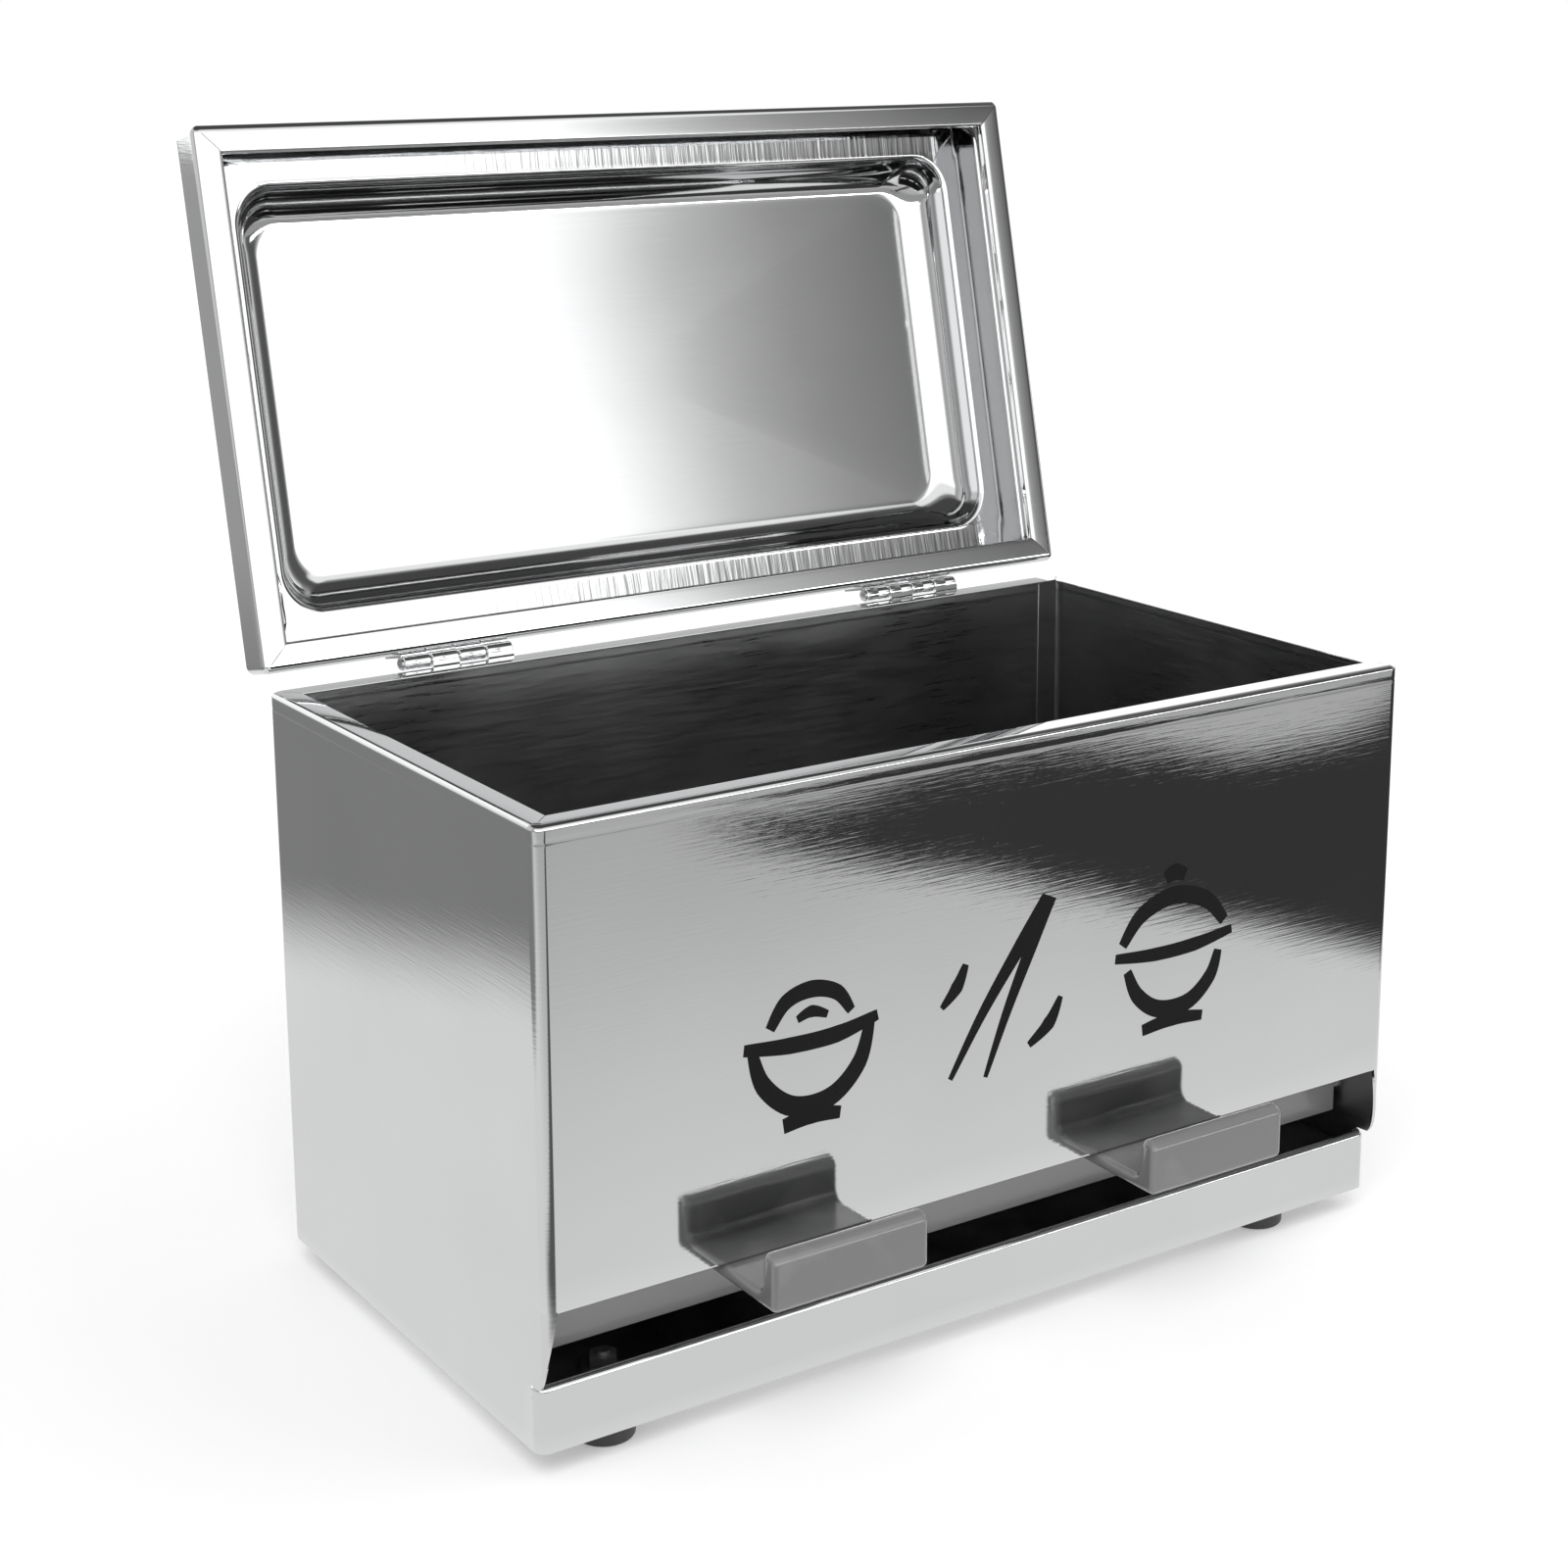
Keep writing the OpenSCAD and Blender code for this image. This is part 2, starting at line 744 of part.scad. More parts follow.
// The screws that hold the feet, seen from below in their recesses
module foot_screws() {
    color(wire)
        for (p = foot_places)
            translate([p.x, p.y, screw_low_z])
                difference() {
                    union() {
                        cylinder(h = screw_head_h, d = screw_head_d);
                        cylinder(h = screw_top_z - screw_low_z, d = screw_d);
                    }
                    for (a = [0, 90])
                        rotate([0, 0, a])
                            translate([-screw_head_d * slot_share / 2, -slot_w / 2, -over])
                                cube([screw_head_d * slot_share, slot_w, over + slot_depth]);
                }
}

// The washers between the base pan and the nuts
module foot_washers() {
    color(wire)
        for (p = foot_places)
            translate([p.x, p.y, washer_z])
                difference() {
                    cylinder(h = washer_t, d = washer_d);
                    translate([0, 0, -over])
                        cylinder(h = washer_t + 2 * over, d = screw_d + 2 * screw_hole_gap);
                }
}

// The hexagon nuts inside the box
module foot_nuts() {
    color(wire)
        for (p = foot_places)
            translate([p.x, p.y, nut_z])
                difference() {
                    cylinder(h = nut_h, d = nut_af / cos(30), $fn = 6);
                    translate([0, 0, -over])
                        cylinder(h = nut_h + 2 * over, d = screw_d + 2 * thread_gap);
                }
}

// Moves the body's own middle to its place over the origin
module placed() {
    translate([0, -mid_y, 0])
        children();
}

placed() body_shell();
placed() base_pan();
placed() hopper_floor();
placed() press_lever();
placed() lever_shaft();
placed() shaft_bracket(-1);  // left_shaft_bracket
placed() shaft_bracket(1);  // right_shaft_bracket
placed() shaft_clip(-1);  // left_shaft_clip
placed() shaft_clip(1);  // right_shaft_clip
placed() return_spring(-1);  // left_return_spring
placed() return_spring(1);  // right_return_spring
placed() hinge_body_leaf(-1);  // left_hinge_body_leaf
placed() hinge_body_leaf(1);  // right_hinge_body_leaf
placed() hinge_lid_leaf(-1);  // left_hinge_lid_leaf
placed() hinge_lid_leaf(1);  // right_hinge_lid_leaf
placed() hinge_pin(-1);  // left_hinge_pin
placed() hinge_pin(1);  // right_hinge_pin
placed() lid_pan();
placed() foot(foot_places[0]);  // front_left_foot
placed() foot(foot_places[1]);  // front_right_foot
placed() foot(foot_places[2]);  // back_left_foot
placed() foot(foot_places[3]);  // back_right_foot
placed() foot_screws();
placed() foot_washers();
placed() foot_nuts();
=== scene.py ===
"""Looks of a chopstick holder with a flip lid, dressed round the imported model's frame.

Sizes in the classes are millimetres in the maker's own frame: x to the right, y to the back from the
middle of the box, z up from the foot soles. Workshop turns them into the frame's metres.
"""

import json
import logging
import math
from dataclasses import dataclass, field
from enum import Enum
from typing import Callable, Iterable, Sequence

import bmesh
import bpy
from mathutils import Matrix, Vector

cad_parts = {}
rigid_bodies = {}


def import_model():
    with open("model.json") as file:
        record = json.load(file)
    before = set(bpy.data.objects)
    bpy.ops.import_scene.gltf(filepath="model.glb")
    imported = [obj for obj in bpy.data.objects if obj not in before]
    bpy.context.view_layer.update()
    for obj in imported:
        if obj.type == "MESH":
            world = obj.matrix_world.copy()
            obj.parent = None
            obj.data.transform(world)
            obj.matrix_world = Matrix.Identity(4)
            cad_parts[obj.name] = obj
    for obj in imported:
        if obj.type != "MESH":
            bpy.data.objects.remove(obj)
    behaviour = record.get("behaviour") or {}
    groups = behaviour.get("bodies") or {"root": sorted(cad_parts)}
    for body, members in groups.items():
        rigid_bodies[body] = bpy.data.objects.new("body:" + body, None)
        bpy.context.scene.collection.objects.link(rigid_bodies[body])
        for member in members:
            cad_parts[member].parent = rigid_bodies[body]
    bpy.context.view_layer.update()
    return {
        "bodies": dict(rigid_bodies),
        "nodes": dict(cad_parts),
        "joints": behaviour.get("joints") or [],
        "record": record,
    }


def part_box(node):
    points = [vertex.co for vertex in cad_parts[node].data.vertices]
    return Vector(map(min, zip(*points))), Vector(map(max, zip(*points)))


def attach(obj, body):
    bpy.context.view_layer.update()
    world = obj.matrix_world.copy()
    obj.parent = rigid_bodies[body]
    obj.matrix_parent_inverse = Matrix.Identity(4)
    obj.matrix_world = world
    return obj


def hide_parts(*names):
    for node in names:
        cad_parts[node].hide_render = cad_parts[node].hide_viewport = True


LOG = logging.getLogger("chopstick_holder")
MM = 0.001
Point = tuple[float, float, float]
Flat = tuple[float, float]
Place = Callable[[Point], Point]
Stroke = tuple[list[Flat], list[float]]
Socket = bpy.types.NodeSocket


class Slot(Enum):
    """The record's material slots."""

    POLISHED = "polished_steel"
    PLAIN = "plain_steel"
    ZINC = "zinc_steel"
    SMOKE = "smoke_plastic"
    RUBBER = "black_rubber"


class Body(Enum):
    """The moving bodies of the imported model."""

    BOX = "box"
    LID = "lid"
    LEVER = "lever"


class Side(Enum):
    """Left and right, as the sign of x."""

    LEFT = -1
    RIGHT = 1

    @property
    def word(self) -> str:
        """The side's name as the nodes spell it."""
        return self.name.lower()


# Sizes


@dataclass(frozen=True)
class Sizes:
    """Driving sizes in millimetres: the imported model's, but for a rounder corner of the walls."""

    width: float = 290.0
    depth: float = 160.0
    height: float = 168.0
    sheet: float = 0.8
    corner: float = 3.4
    rim: float = 7.5
    rim_bend: float = 1.6
    foot_show: float = 7.0
    rail_height: float = 18.5
    rail_back: float = 5.3
    mouth: float = 22.0
    hem: float = 4.5
    lap: float = 9.0
    pan_rise: float = 11.0
    foot_from_side: float = 30.0
    foot_from_front: float = 18.0
    foot_shift: float = -4.0
    hinge_from_side: float = 61.5
    hinge_length: float = 36.0
    knuckle: float = 4.6
    hinge_rise: float = 1.5
    clearance: float = 0.3
    open_angle: float = 102.5

    @property
    def front(self) -> float:
        """The front panel's face."""
        return -self.depth / 2

    @property
    def back(self) -> float:
        """The back wall's outer face."""
        return self.depth / 2

    @property
    def rim_z(self) -> float:
        """Height of the rim."""
        return self.foot_show + self.height

    @property
    def rail_y(self) -> float:
        """The rail's outer face."""
        return self.front + self.rail_back

    @property
    def rail_top(self) -> float:
        """Height of the rail's top."""
        return self.foot_show + self.rail_height

    @property
    def panel_low(self) -> float:
        """Height of the front panel's lower edge."""
        return self.rail_top + self.mouth

    @property
    def axis(self) -> Flat:
        """The lid hinge's axis, as y and z."""
        return (self.back + self.clearance + self.knuckle / 2, self.rim_z + self.hinge_rise)


@dataclass
class Workshop:
    """Turns the maker's millimetres into the frame's metres and opens the lid."""

    sizes: Sizes
    middle: float

    def stand(self, p: Point) -> Point:
        """A point that stays where it is drawn."""
        return (p[0] * MM, (p[1] - self.middle) * MM, p[2] * MM)

    def opened(self, p: Point) -> Point:
        """A point of the closed lid, turned open about the hinge."""
        axis_y, axis_z = self.sizes.axis
        turn = math.radians(self.sizes.open_angle)
        y, z = p[1] - axis_y, p[2] - axis_z
        return self.stand((
            p[0],
            axis_y + y * math.cos(turn) + z * math.sin(turn),
            axis_z - y * math.sin(turn) + z * math.cos(turn),
        ))


# Mesh building


@dataclass
class Sheet:
    """Points and faces of a mesh that is being drawn, in millimetres."""

    points: list[Point] = field(default_factory=list)
    faces: list[tuple[int, ...]] = field(default_factory=list)

    def row(self, points: Iterable[Point]) -> list[int]:
        """Adds points and returns their numbers."""
        first = len(self.points)
        self.points.extend(points)
        return list(range(first, len(self.points)))

    def strip(self, a: Sequence[int], b: Sequence[int], closed: bool = False) -> None:
        """Joins two rows of the same length with quads."""
        count = len(a)
        for i in range(count if closed else count - 1):
            j = (i + 1) % count
            self.faces.append((a[i], a[j], b[j], b[i]))

    def skin(self, rows: Sequence[Sequence[Point]], closed: bool = False) -> list[list[int]]:
        """Adds rows of points and joins each to the next."""
        made = [self.row(r) for r in rows]
        for a, b in zip(made, made[1:]):
            self.strip(a, b, closed)
        return made

    def prism(self, outline: Sequence[Flat], x0: float, x1: float) -> None:
        """A closed bar along x from an outline drawn in y and z."""
        a = self.row([(x0, y, z) for y, z in outline])
        b = self.row([(x1, y, z) for y, z in outline])
        self.strip(a, b, closed=True)
        self.faces.append(tuple(reversed(a)))
        self.faces.append(tuple(b))

    def turned(self, outline: Sequence[Flat], centre: Point, along: str, steps: int = 40) -> None:
        """A closed ring turned from an outline of radius and height about an axis along x or z."""
        rings = []
        for r, h in outline:
            ring = []
            for i in range(steps):
                a = 2 * math.pi * i / steps
                c, s = r * math.cos(a), r * math.sin(a)
                ring.append(
                    (centre[0] + c, centre[1] + s, centre[2] + h)
                    if along == "z"
                    else (centre[0] + h, centre[1] + c, centre[2] + s)
                )
            rings.append(self.row(ring))
        for a, b in zip(rings, rings[1:] + rings[:1]):
            self.strip(a, b, closed=True)

    def tube(self, path: Sequence[Point], radius: float, sides: int = 10) -> None:
        """A round wire along a path, closed at both ends."""
        rows = []
        side = None
        for i, p in enumerate(path):
            a = Vector(path[max(i - 1, 0)])
            b = Vector(path[min(i + 1, len(path) - 1)])
            way = (b - a).normalized()
            if side is None:
                side = way.orthogonal().normalized()
            side = (side - way * side.dot(way)).normalized()
            other = way.cross(side)
            ring = []
            for k in range(sides):
                t = 2 * math.pi * k / sides
                ring.append(tuple(Vector(p) + (side * math.cos(t) + other * math.sin(t)) * radius))
            rows.append(ring)
        made = self.skin(rows, closed=True)
        self.faces.append(tuple(reversed(made[0])))
        self.faces.append(tuple(made[-1]))

    def drawn(self, name: str, place: Place = tuple) -> bpy.types.Object:
        """Makes the object as it is drawn."""
        mesh = bpy.data.meshes.new(name)
        mesh.from_pydata([place(p) for p in self.points], [], self.faces)
        piece = bpy.data.objects.new(name, mesh)
        bpy.context.scene.collection.objects.link(piece)
        return piece

    def build(self, name: str, place: Place, sharp: float = 32.0) -> bpy.types.Object:
        """Makes the object with its coincident points welded.

        Args:
            name: The piece's name.
            place: Turns a drawn point into the frame's metres.
            sharp: Edges that bend more than this many degrees stay sharp.

        Returns:
            The new mesh object.
        """
        piece = self.drawn(name, place)
        work = bmesh.new()
        work.from_mesh(piece.data)
        bmesh.ops.remove_doubles(work, verts=work.verts, dist=2e-6)
        bmesh.ops.dissolve_degenerate(work, edges=work.edges, dist=1e-7)
        bmesh.ops.recalc_face_normals(work, faces=work.faces)
        work.to_mesh(piece.data)
        work.free()
        smooth(piece, sharp)
        return piece


def block(y0: float, z0: float, y1: float, z1: float) -> list[Flat]:
    """A rectangle's outline from two opposite corners."""
    return [(y0, z0), (y1, z0), (y1, z1), (y0, z1)]


def smooth(piece: bpy.types.Object, sharp: float) -> None:
    """Shades a piece smooth, and leaves edges sharp above an angle in degrees."""
    piece.data.shade_smooth()
    piece.data.set_sharp_from_angle(angle=math.radians(sharp))


def apply(piece: bpy.types.Object, kind: str, **settings: object) -> None:
    """Adds a modifier with its settings and applies it to the piece's mesh."""
    made = piece.modifiers.new(kind.lower(), kind)
    for key, value in settings.items():
        setattr(made, key, value)
    graph = bpy.context.evaluated_depsgraph_get()
    mesh = bpy.data.meshes.new_from_object(piece.evaluated_get(graph))
    piece.modifiers.clear()
    piece.data = mesh


def thicken(piece: bpy.types.Object, thickness: float, inner: bpy.types.Material | None = None) -> None:
    """Gives a drawn outer face its sheet thickness, inwards.

    Args:
        piece: The open mesh that is the sheet's outer face.
        thickness: The sheet's thickness in millimetres.
        inner: A finish for the inner face, or None for one finish all over.
    """
    if inner is not None:
        piece.data.materials.append(inner)
        piece.data.materials.append(inner)
    apply(piece, "SOLIDIFY", thickness=thickness * MM, offset=-1, use_quality_normals=True,
          material_offset=0 if inner is None else 1)


def round_edges(piece: bpy.types.Object, radius: float, steps: int) -> None:
    """Rounds a piece's sharp edges with a radius in millimetres."""
    apply(piece, "BEVEL", width=radius * MM, segments=steps, limit_method="ANGLE",
          angle_limit=math.radians(40), harden_normals=False)


def flatten_shading(piece: bpy.types.Object) -> None:
    """Keeps broad faces flat in shading, so that only the bends catch the light."""
    apply(piece, "WEIGHTED_NORMAL", mode="FACE_AREA", weight=90, keep_sharp=True)


def fold(
    sheet: Sheet, name: str, place: Place, thickness: float, sharp: float = 32.0,
    inner: bpy.types.Material | None = None,
) -> bpy.types.Object:
    """Makes drawn sheet metal, smooth on its bends and flat on its faces.

    Args:
        sheet: The sheet's outer face.
        name: The piece's name.
        place: Turns a drawn point into the frame's metres.
        thickness: The sheet's thickness in millimetres.
        sharp: Edges that bend more than this many degrees stay sharp.
        inner: A finish for the inner face, or None for one finish all over.

    Returns:
        The new mesh object.
    """
    piece = sheet.build(name, place)
    thicken(piece, thickness, inner)
    smooth(piece, sharp)
    flatten_shading(piece)
    return piece


def arc(centre: Flat, radius: float, start: float, stop: float, steps: int) -> list[Flat]:
    """Points on an arc between two angles in degrees."""
    return [
        (
            centre[0] + radius * math.cos(math.radians(start + (stop - start) * i / steps)),
            centre[1] + radius * math.sin(math.radians(start + (stop - start) * i / steps)),
        )
        for i in range(steps + 1)
    ]


def blend(low: float, high: float, value: float) -> float:
    """0 below low, 1 above high, and a smooth rise between them."""
    t = min(max((value - low) / (high - low), 0.0), 1.0)
    return t * t * (3 - 2 * t)


# Rings of sheet


@dataclass(frozen=True)
class Level:
    """One line round a ring: how far in, its corner radius, its height, and the slit at each mitre."""

    inset: float
    radius: float
    z: float
    slit: float = 0.0
    inset_y: float | None = None


@dataclass(frozen=True)
class Ring:
    """A rectangle with round corners that a line of levels is swept round, in four runs."""

    width: float
    depth: float
    middle: float
    long_steps: int = 40
    short_steps: int = 22
    arc_steps: int = 5

    def bend(self, cut: float | None, end: float, r: float) -> tuple[list[Flat], float]:
        """Half of a corner's bend, or the part of it that a cut across the wall's front leaves.

        Args:
            cut: Where the wall is cut, measured from the ring's middle, or None for a whole corner.
            end: Where the straight part ends.
            r: The bend's radius.

        Returns:
            The bend's points, outwards from the straight part, and where the straight part ends.
        """
        if cut is None:
            return [(end + u, v) for u, v in arc((0, 0), r, 90, 45, self.arc_steps)], end
        stop = min(end, -cut)
        turn = math.degrees(math.asin(min(max(-cut - end, 0.0) / r, 1.0)))
        return [(stop + u, v) for u, v in arc((0, 0), r, 90, 90 - turn, self.arc_steps)], stop

    def run(self, level: Level, number: int, front: float | None = None) -> list[Point]:
        """One run of a level, from mitre to mitre: 0 front, 1 right, 2 back, 3 left.

        Args:
            level: The line to follow.
            number: Which of the four runs.
            front: Where the side runs end at the front, for walls that have no front.

        Returns:
            The run's points.
        """
        inset_y = level.inset if level.inset_y is None else level.inset_y
        half_x, half_y = self.width / 2 - level.inset, self.depth / 2 - inset_y
        is_long = number % 2 == 0
        along, out = (half_x, half_y) if is_long else (half_y, half_x)
        r = level.radius
        end = along - r - level.slit
        steps = self.long_steps if is_long else self.short_steps
        cut = None if front is None or is_long else front - self.middle
        first, start = self.bend(cut if number == 1 else None, end, r)
        last, stop = self.bend(cut if number == 3 else None, end, r)
        flat = [(-u, out - r + v) for u, v in reversed(first)][:-1]
        flat += [(-start + (start + stop) * i / steps, out) for i in range(steps + 1)]
        flat += [(u, out - r + v) for u, v in last][1:]
        way = ((1, 0), (0, 1), (-1, 0), (0, -1))[number]
        facing = ((0, -1), (1, 0), (0, 1), (-1, 0))[number]
        return [
            (u * way[0] + v * facing[0], self.middle + u * way[1] + v * facing[1], level.z)
            for u, v in flat
        ]

    def sweep(self, sheet: Sheet, levels: Sequence[Level], runs: Iterable[int] = range(4)) -> None:
        """Adds the swept surface of the levels to a sheet."""
        for number in runs:
            sheet.skin([self.run(level, number) for level in levels])


# Finishes


@dataclass(frozen=True)
class Nodes:
    """The node tree of a material or a world, with short ways to add to it."""

    owner: bpy.types.Material | bpy.types.World

    @classmethod
    def empty(cls, owner: bpy.types.Material | bpy.types.World) -> "Nodes":
        """The cleared tree of a material or a world."""
        owner.use_nodes = True
        owner.node_tree.nodes.clear()
        return cls(owner)

    @classmethod
    def new(cls, name: str) -> "Nodes":
        """The empty tree of a new material."""
        return cls.empty(bpy.data.materials.new(name))

    def add(self, kind: str, inputs: dict | None = None, **settings: object) -> bpy.types.Node:
        """Adds a node.

        Args:
            kind: The node's type.
            inputs: Values or sockets for its inputs, by name or number.
            settings: Values for its own properties.

        Returns:
            The new node.
        """
        node = self.owner.node_tree.nodes.new(kind)
        for key, value in settings.items():
            setattr(node, key, value)
        for key, value in (inputs or {}).items():
            if isinstance(value, Socket):
                self.owner.node_tree.links.new(value, node.inputs[key])
            else:
                node.inputs[key].default_value = value
        return node

    def math(self, operation: str, a: Socket, b: Socket | float) -> Socket:
        """A math node's output."""
        return self.add("ShaderNodeMath", {0: a, 1: b}, operation=operation).outputs[0]

    def span(self, value: Socket, low: float, high: float, a: float, b: float) -> Socket:
        """Maps low to high onto a to b, clamped."""
        inputs = {"Value": value, "From Min": low, "From Max": high, "To Min": a, "To Max": b}
        return self.add("ShaderNodeMapRange", inputs).outputs["Result"]

    def where(self) -> Socket:
        """The object's own coordinates."""
        return self.add("ShaderNodeTexCoord").outputs["Object"]

    def noise(
        self, scale: float, stretch: Point = (1.0, 1.0, 1.0), turn: Point = (0.0, 0.0, 0.0),
        detail: float = 3.0,
    ) -> Socket:
        """Noise over the object's own coordinates.

        Args:
            scale: How fine it is.
            stretch: How much finer it is along each axis.
            turn: How it is turned about each axis, in degrees.
            detail: How many layers it has.

        Returns:
            The noise, from 0 to 1.
        """
        turned = [math.radians(a) for a in turn]
        mapping = self.add(
            "ShaderNodeMapping", {"Vector": self.where(), "Rotation": turned, "Scale": stretch}
        )
        inputs = {"Vector": mapping.outputs[0], "Scale": scale, "Detail": detail}
        return self.add("ShaderNodeTexNoise", inputs).outputs["Fac"]

    def mark(self, name: str) -> Socket:
        """A number that the mesh carries at each point."""
        return self.add("ShaderNodeAttribute", attribute_name=name).outputs["Fac"]

    def edges(self, full: float) -> Socket:
        """0 on flats, and up to 1 on edges that stand out by a given pointiness."""
        return self.span(self.add("ShaderNodeNewGeometry").outputs["Pointiness"], 0.5, full, 0.0, 1.0)

    def seen(self) -> Socket:
        """1 for what the camera sees, straight, mirrored or through a clear part, and else 0."""
        rays = self.add("ShaderNodeLightPath").outputs
        both = self.math("ADD", rays["Is Camera Ray"], rays["Is Glossy Ray"])
        return self.math("ADD", both, rays["Is Transmission Ray"])

    def bump(
        self, height: Socket, strength: float, distance: float, under: Socket | None = None
    ) -> Socket:
        """A bump's normal, on top of another one."""
        inputs = {"Height": height, "Strength": strength, "Distance": distance}
        if under is not None:
            inputs["Normal"] = under
        return self.add("ShaderNodeBump", inputs).outputs["Normal"]

    def tint(self, factor: Socket, a: Point, b: Point) -> Socket:
        """A colour between two, chosen by a factor."""
        inputs = {"Factor": factor, "A": (*a, 1), "B": (*b, 1)}
        node = self.add("ShaderNodeMix", inputs, data_type="RGBA")
        return [s for s in node.outputs if s.type == "RGBA"][0]

    def finish(
        self, shader: bpy.types.Node, output: str = "ShaderNodeOutputMaterial"
    ) -> bpy.types.Material | bpy.types.World:
        """Ends the tree with a shader."""
        self.add(output, {"Surface": shader.outputs[0]})
        return self.owner


def grey(value: float, warmth: float = 0.0) -> Point:
    """A grey, a little warm above 0 and a little cool below."""
    return (value * (1 + warmth), value, value * (1 - warmth))


@dataclass(frozen=True)
class SteelFinish:
    """Sheet steel: a polish with fine diagonal lines, faint waves, smudges, and a painted highlight that
    makes convex edges brighter.
    """

    name: str
    tone: float
    roughness: float
    grain: float = 0.12
    wave: float = 0.22
    grain_turn: tuple[float, float, float] = (0.0, 38.0, 0.0)
    specks: float = 0.0
    creases: bool = False

    def material(self) -> bpy.types.Material:
        """Builds the material."""
        n = Nodes.new(self.name)
        smudge = n.noise(14.0, detail=4.0)
        lines = n.noise(60.0, stretch=(1.0, 1.0, 26.0), turn=self.grain_turn, detail=5.0)
        waves = n.noise(9.0, stretch=(1.0, 1.0, 1.6), detail=1.5)
        rough = n.math(
            "ADD",
            n.span(smudge, 0.35, 0.75, self.roughness * 0.8, self.roughness * 1.35),
            n.span(lines, 0.3, 0.7, 0.0, self.roughness * 0.5),
        )
        normal = n.bump(waves, self.wave, 0.0016)
        normal = n.bump(lines, self.grain, 0.00012, normal)
        if self.creases:
            ticks = n.noise(40.0, stretch=(16.0, 1.0, 1.0), detail=2.0)
            normal = n.bump(n.math("MULTIPLY", ticks, n.mark("crease")), 0.3, 0.00025, normal)
        # The colour is paler on convex edges, which is a painted highlight, and paler in random smudges.
        colour = n.tint(
            n.math("MAXIMUM", n.edges(0.6), n.span(smudge, 0.3, 0.8, 0.0, 0.6)),
            grey(self.tone * 0.96, -0.006),
            grey(min(self.tone * 1.06, 0.95), -0.006),
        )
        if self.specks:
            dots = n.add("ShaderNodeTexVoronoi", {"Vector": n.where(), "Scale": 420.0}, feature="F1")
            dust = n.span(dots.outputs["Distance"], 0.05, 0.09, self.specks, 0.0)
            thin = n.span(n.noise(30.0, detail=2.0), 0.52, 0.6, 0.0, 1.0)
            rough = n.math("ADD", rough, n.math("MULTIPLY", dust, thin))
        inputs = {"Metallic": 1.0, "Base Color": colour, "Roughness": rough, "Normal": normal}
        return n.finish(n.add("ShaderNodeBsdfPrincipled", inputs))


@dataclass(frozen=True)
class MouldedFinish:
    """Moulded plastic or rubber: a fine skin, faint clouds, scuffs, and a painted highlight that makes
    convex edges paler.
    """

    name: str
    tone: float
    roughness: float
    specular: float = 0.5
    skin: float = 900.0
    skin_depth: float = 0.00004
    rub: float = 1.35
    coat: float = 0.0

    def material(self) -> bpy.types.Material:
        """Builds the material."""
        n = Nodes.new(self.name)
        clouds = n.noise(40.0, detail=3.0)
        skin = n.noise(self.skin, detail=2.0)
        scuffs = n.noise(120.0, stretch=(6.0, 1.0, 1.0), turn=(0.0, 0.0, 20.0), detail=4.0)
        # Convex edges are painted paler as a highlight, and faint clouds add random paler tone.
        edge_highlight_and_clouds = n.math("MAXIMUM", n.edges(0.58), n.span(clouds, 0.3, 0.75, 0.0, 0.5))
        colour = n.tint(edge_highlight_and_clouds, grey(self.tone * 0.94), grey(self.tone * self.rub))
        rough = n.math(
            "ADD",
            n.span(clouds, 0.3, 0.7, self.roughness * 0.9, self.roughness * 1.15),
            n.span(scuffs, 0.6, 0.8, 0.0, 0.05),
        )
        inputs = {
            "Base Color": colour,
            "Roughness": rough,
            "Normal": n.bump(skin, 0.5, self.skin_depth),
            "Specular IOR Level": self.specular,
            "Coat Weight": self.coat,
            "Coat Roughness": 0.12,
        }
        return n.finish(n.add("ShaderNodeBsdfPrincipled", inputs))


@dataclass
class Finishes:
    """Every finish of the holder, made once."""

    panel: bpy.types.Material
    lid: bpy.types.Material
    inside: bpy.types.Material
    fastener: bpy.types.Material
    plain: bpy.types.Material
    zinc: bpy.types.Material
    wire: bpy.types.Material
    smoke: bpy.types.Material
    rubber: bpy.types.Material
    print: bpy.types.Material

    @classmethod
    def make(cls) -> "Finishes":
        """Builds the materials."""
        return cls(
            panel=SteelFinish("polished_sheet", 0.62, 0.03, specks=0.15).material(),
            lid=SteelFinish(
                "polished_lid", 0.68, 0.05, grain=0.05, wave=0.08, creases=True
            ).material(),
            # A darker copy of the steel for the inner faces: painted shade for the inside of the box.
            inside=SteelFinish("dull_inner_sheet_painted_shade", 0.3, 0.28, grain=0.15, wave=0.1).material(),
            plain=SteelFinish("plain_sheet", 0.45, 0.32, grain=0.2, wave=0.2).material(),
            # A darker grey for the foot screws, washers and nuts under the box: painted shade.
            fastener=SteelFinish("dull_zinc_painted_shade", 0.3, 0.42, grain=0.2, wave=0.1).material(),
            zinc=SteelFinish(
                "bright_zinc", 0.86, 0.07, grain=0.1, wave=0.1, grain_turn=(0, 0, 0)
            ).material(),
            wire=SteelFinish("spring_wire", 0.5, 0.26, grain=0.2, wave=0.1).material(),
            # The smoke plastic's edges get a strong painted highlight.
            smoke=MouldedFinish("smoke_moulding", 0.12, 0.22, coat=0.5, rub=3.0).material(),
            rubber=MouldedFinish("black_rubber", 0.035, 0.62, skin=1500.0, skin_depth=0.00008).material(),
            print=MouldedFinish("black_print", 0.006, 0.5, specular=0.12, rub=1.6).material(),
        )


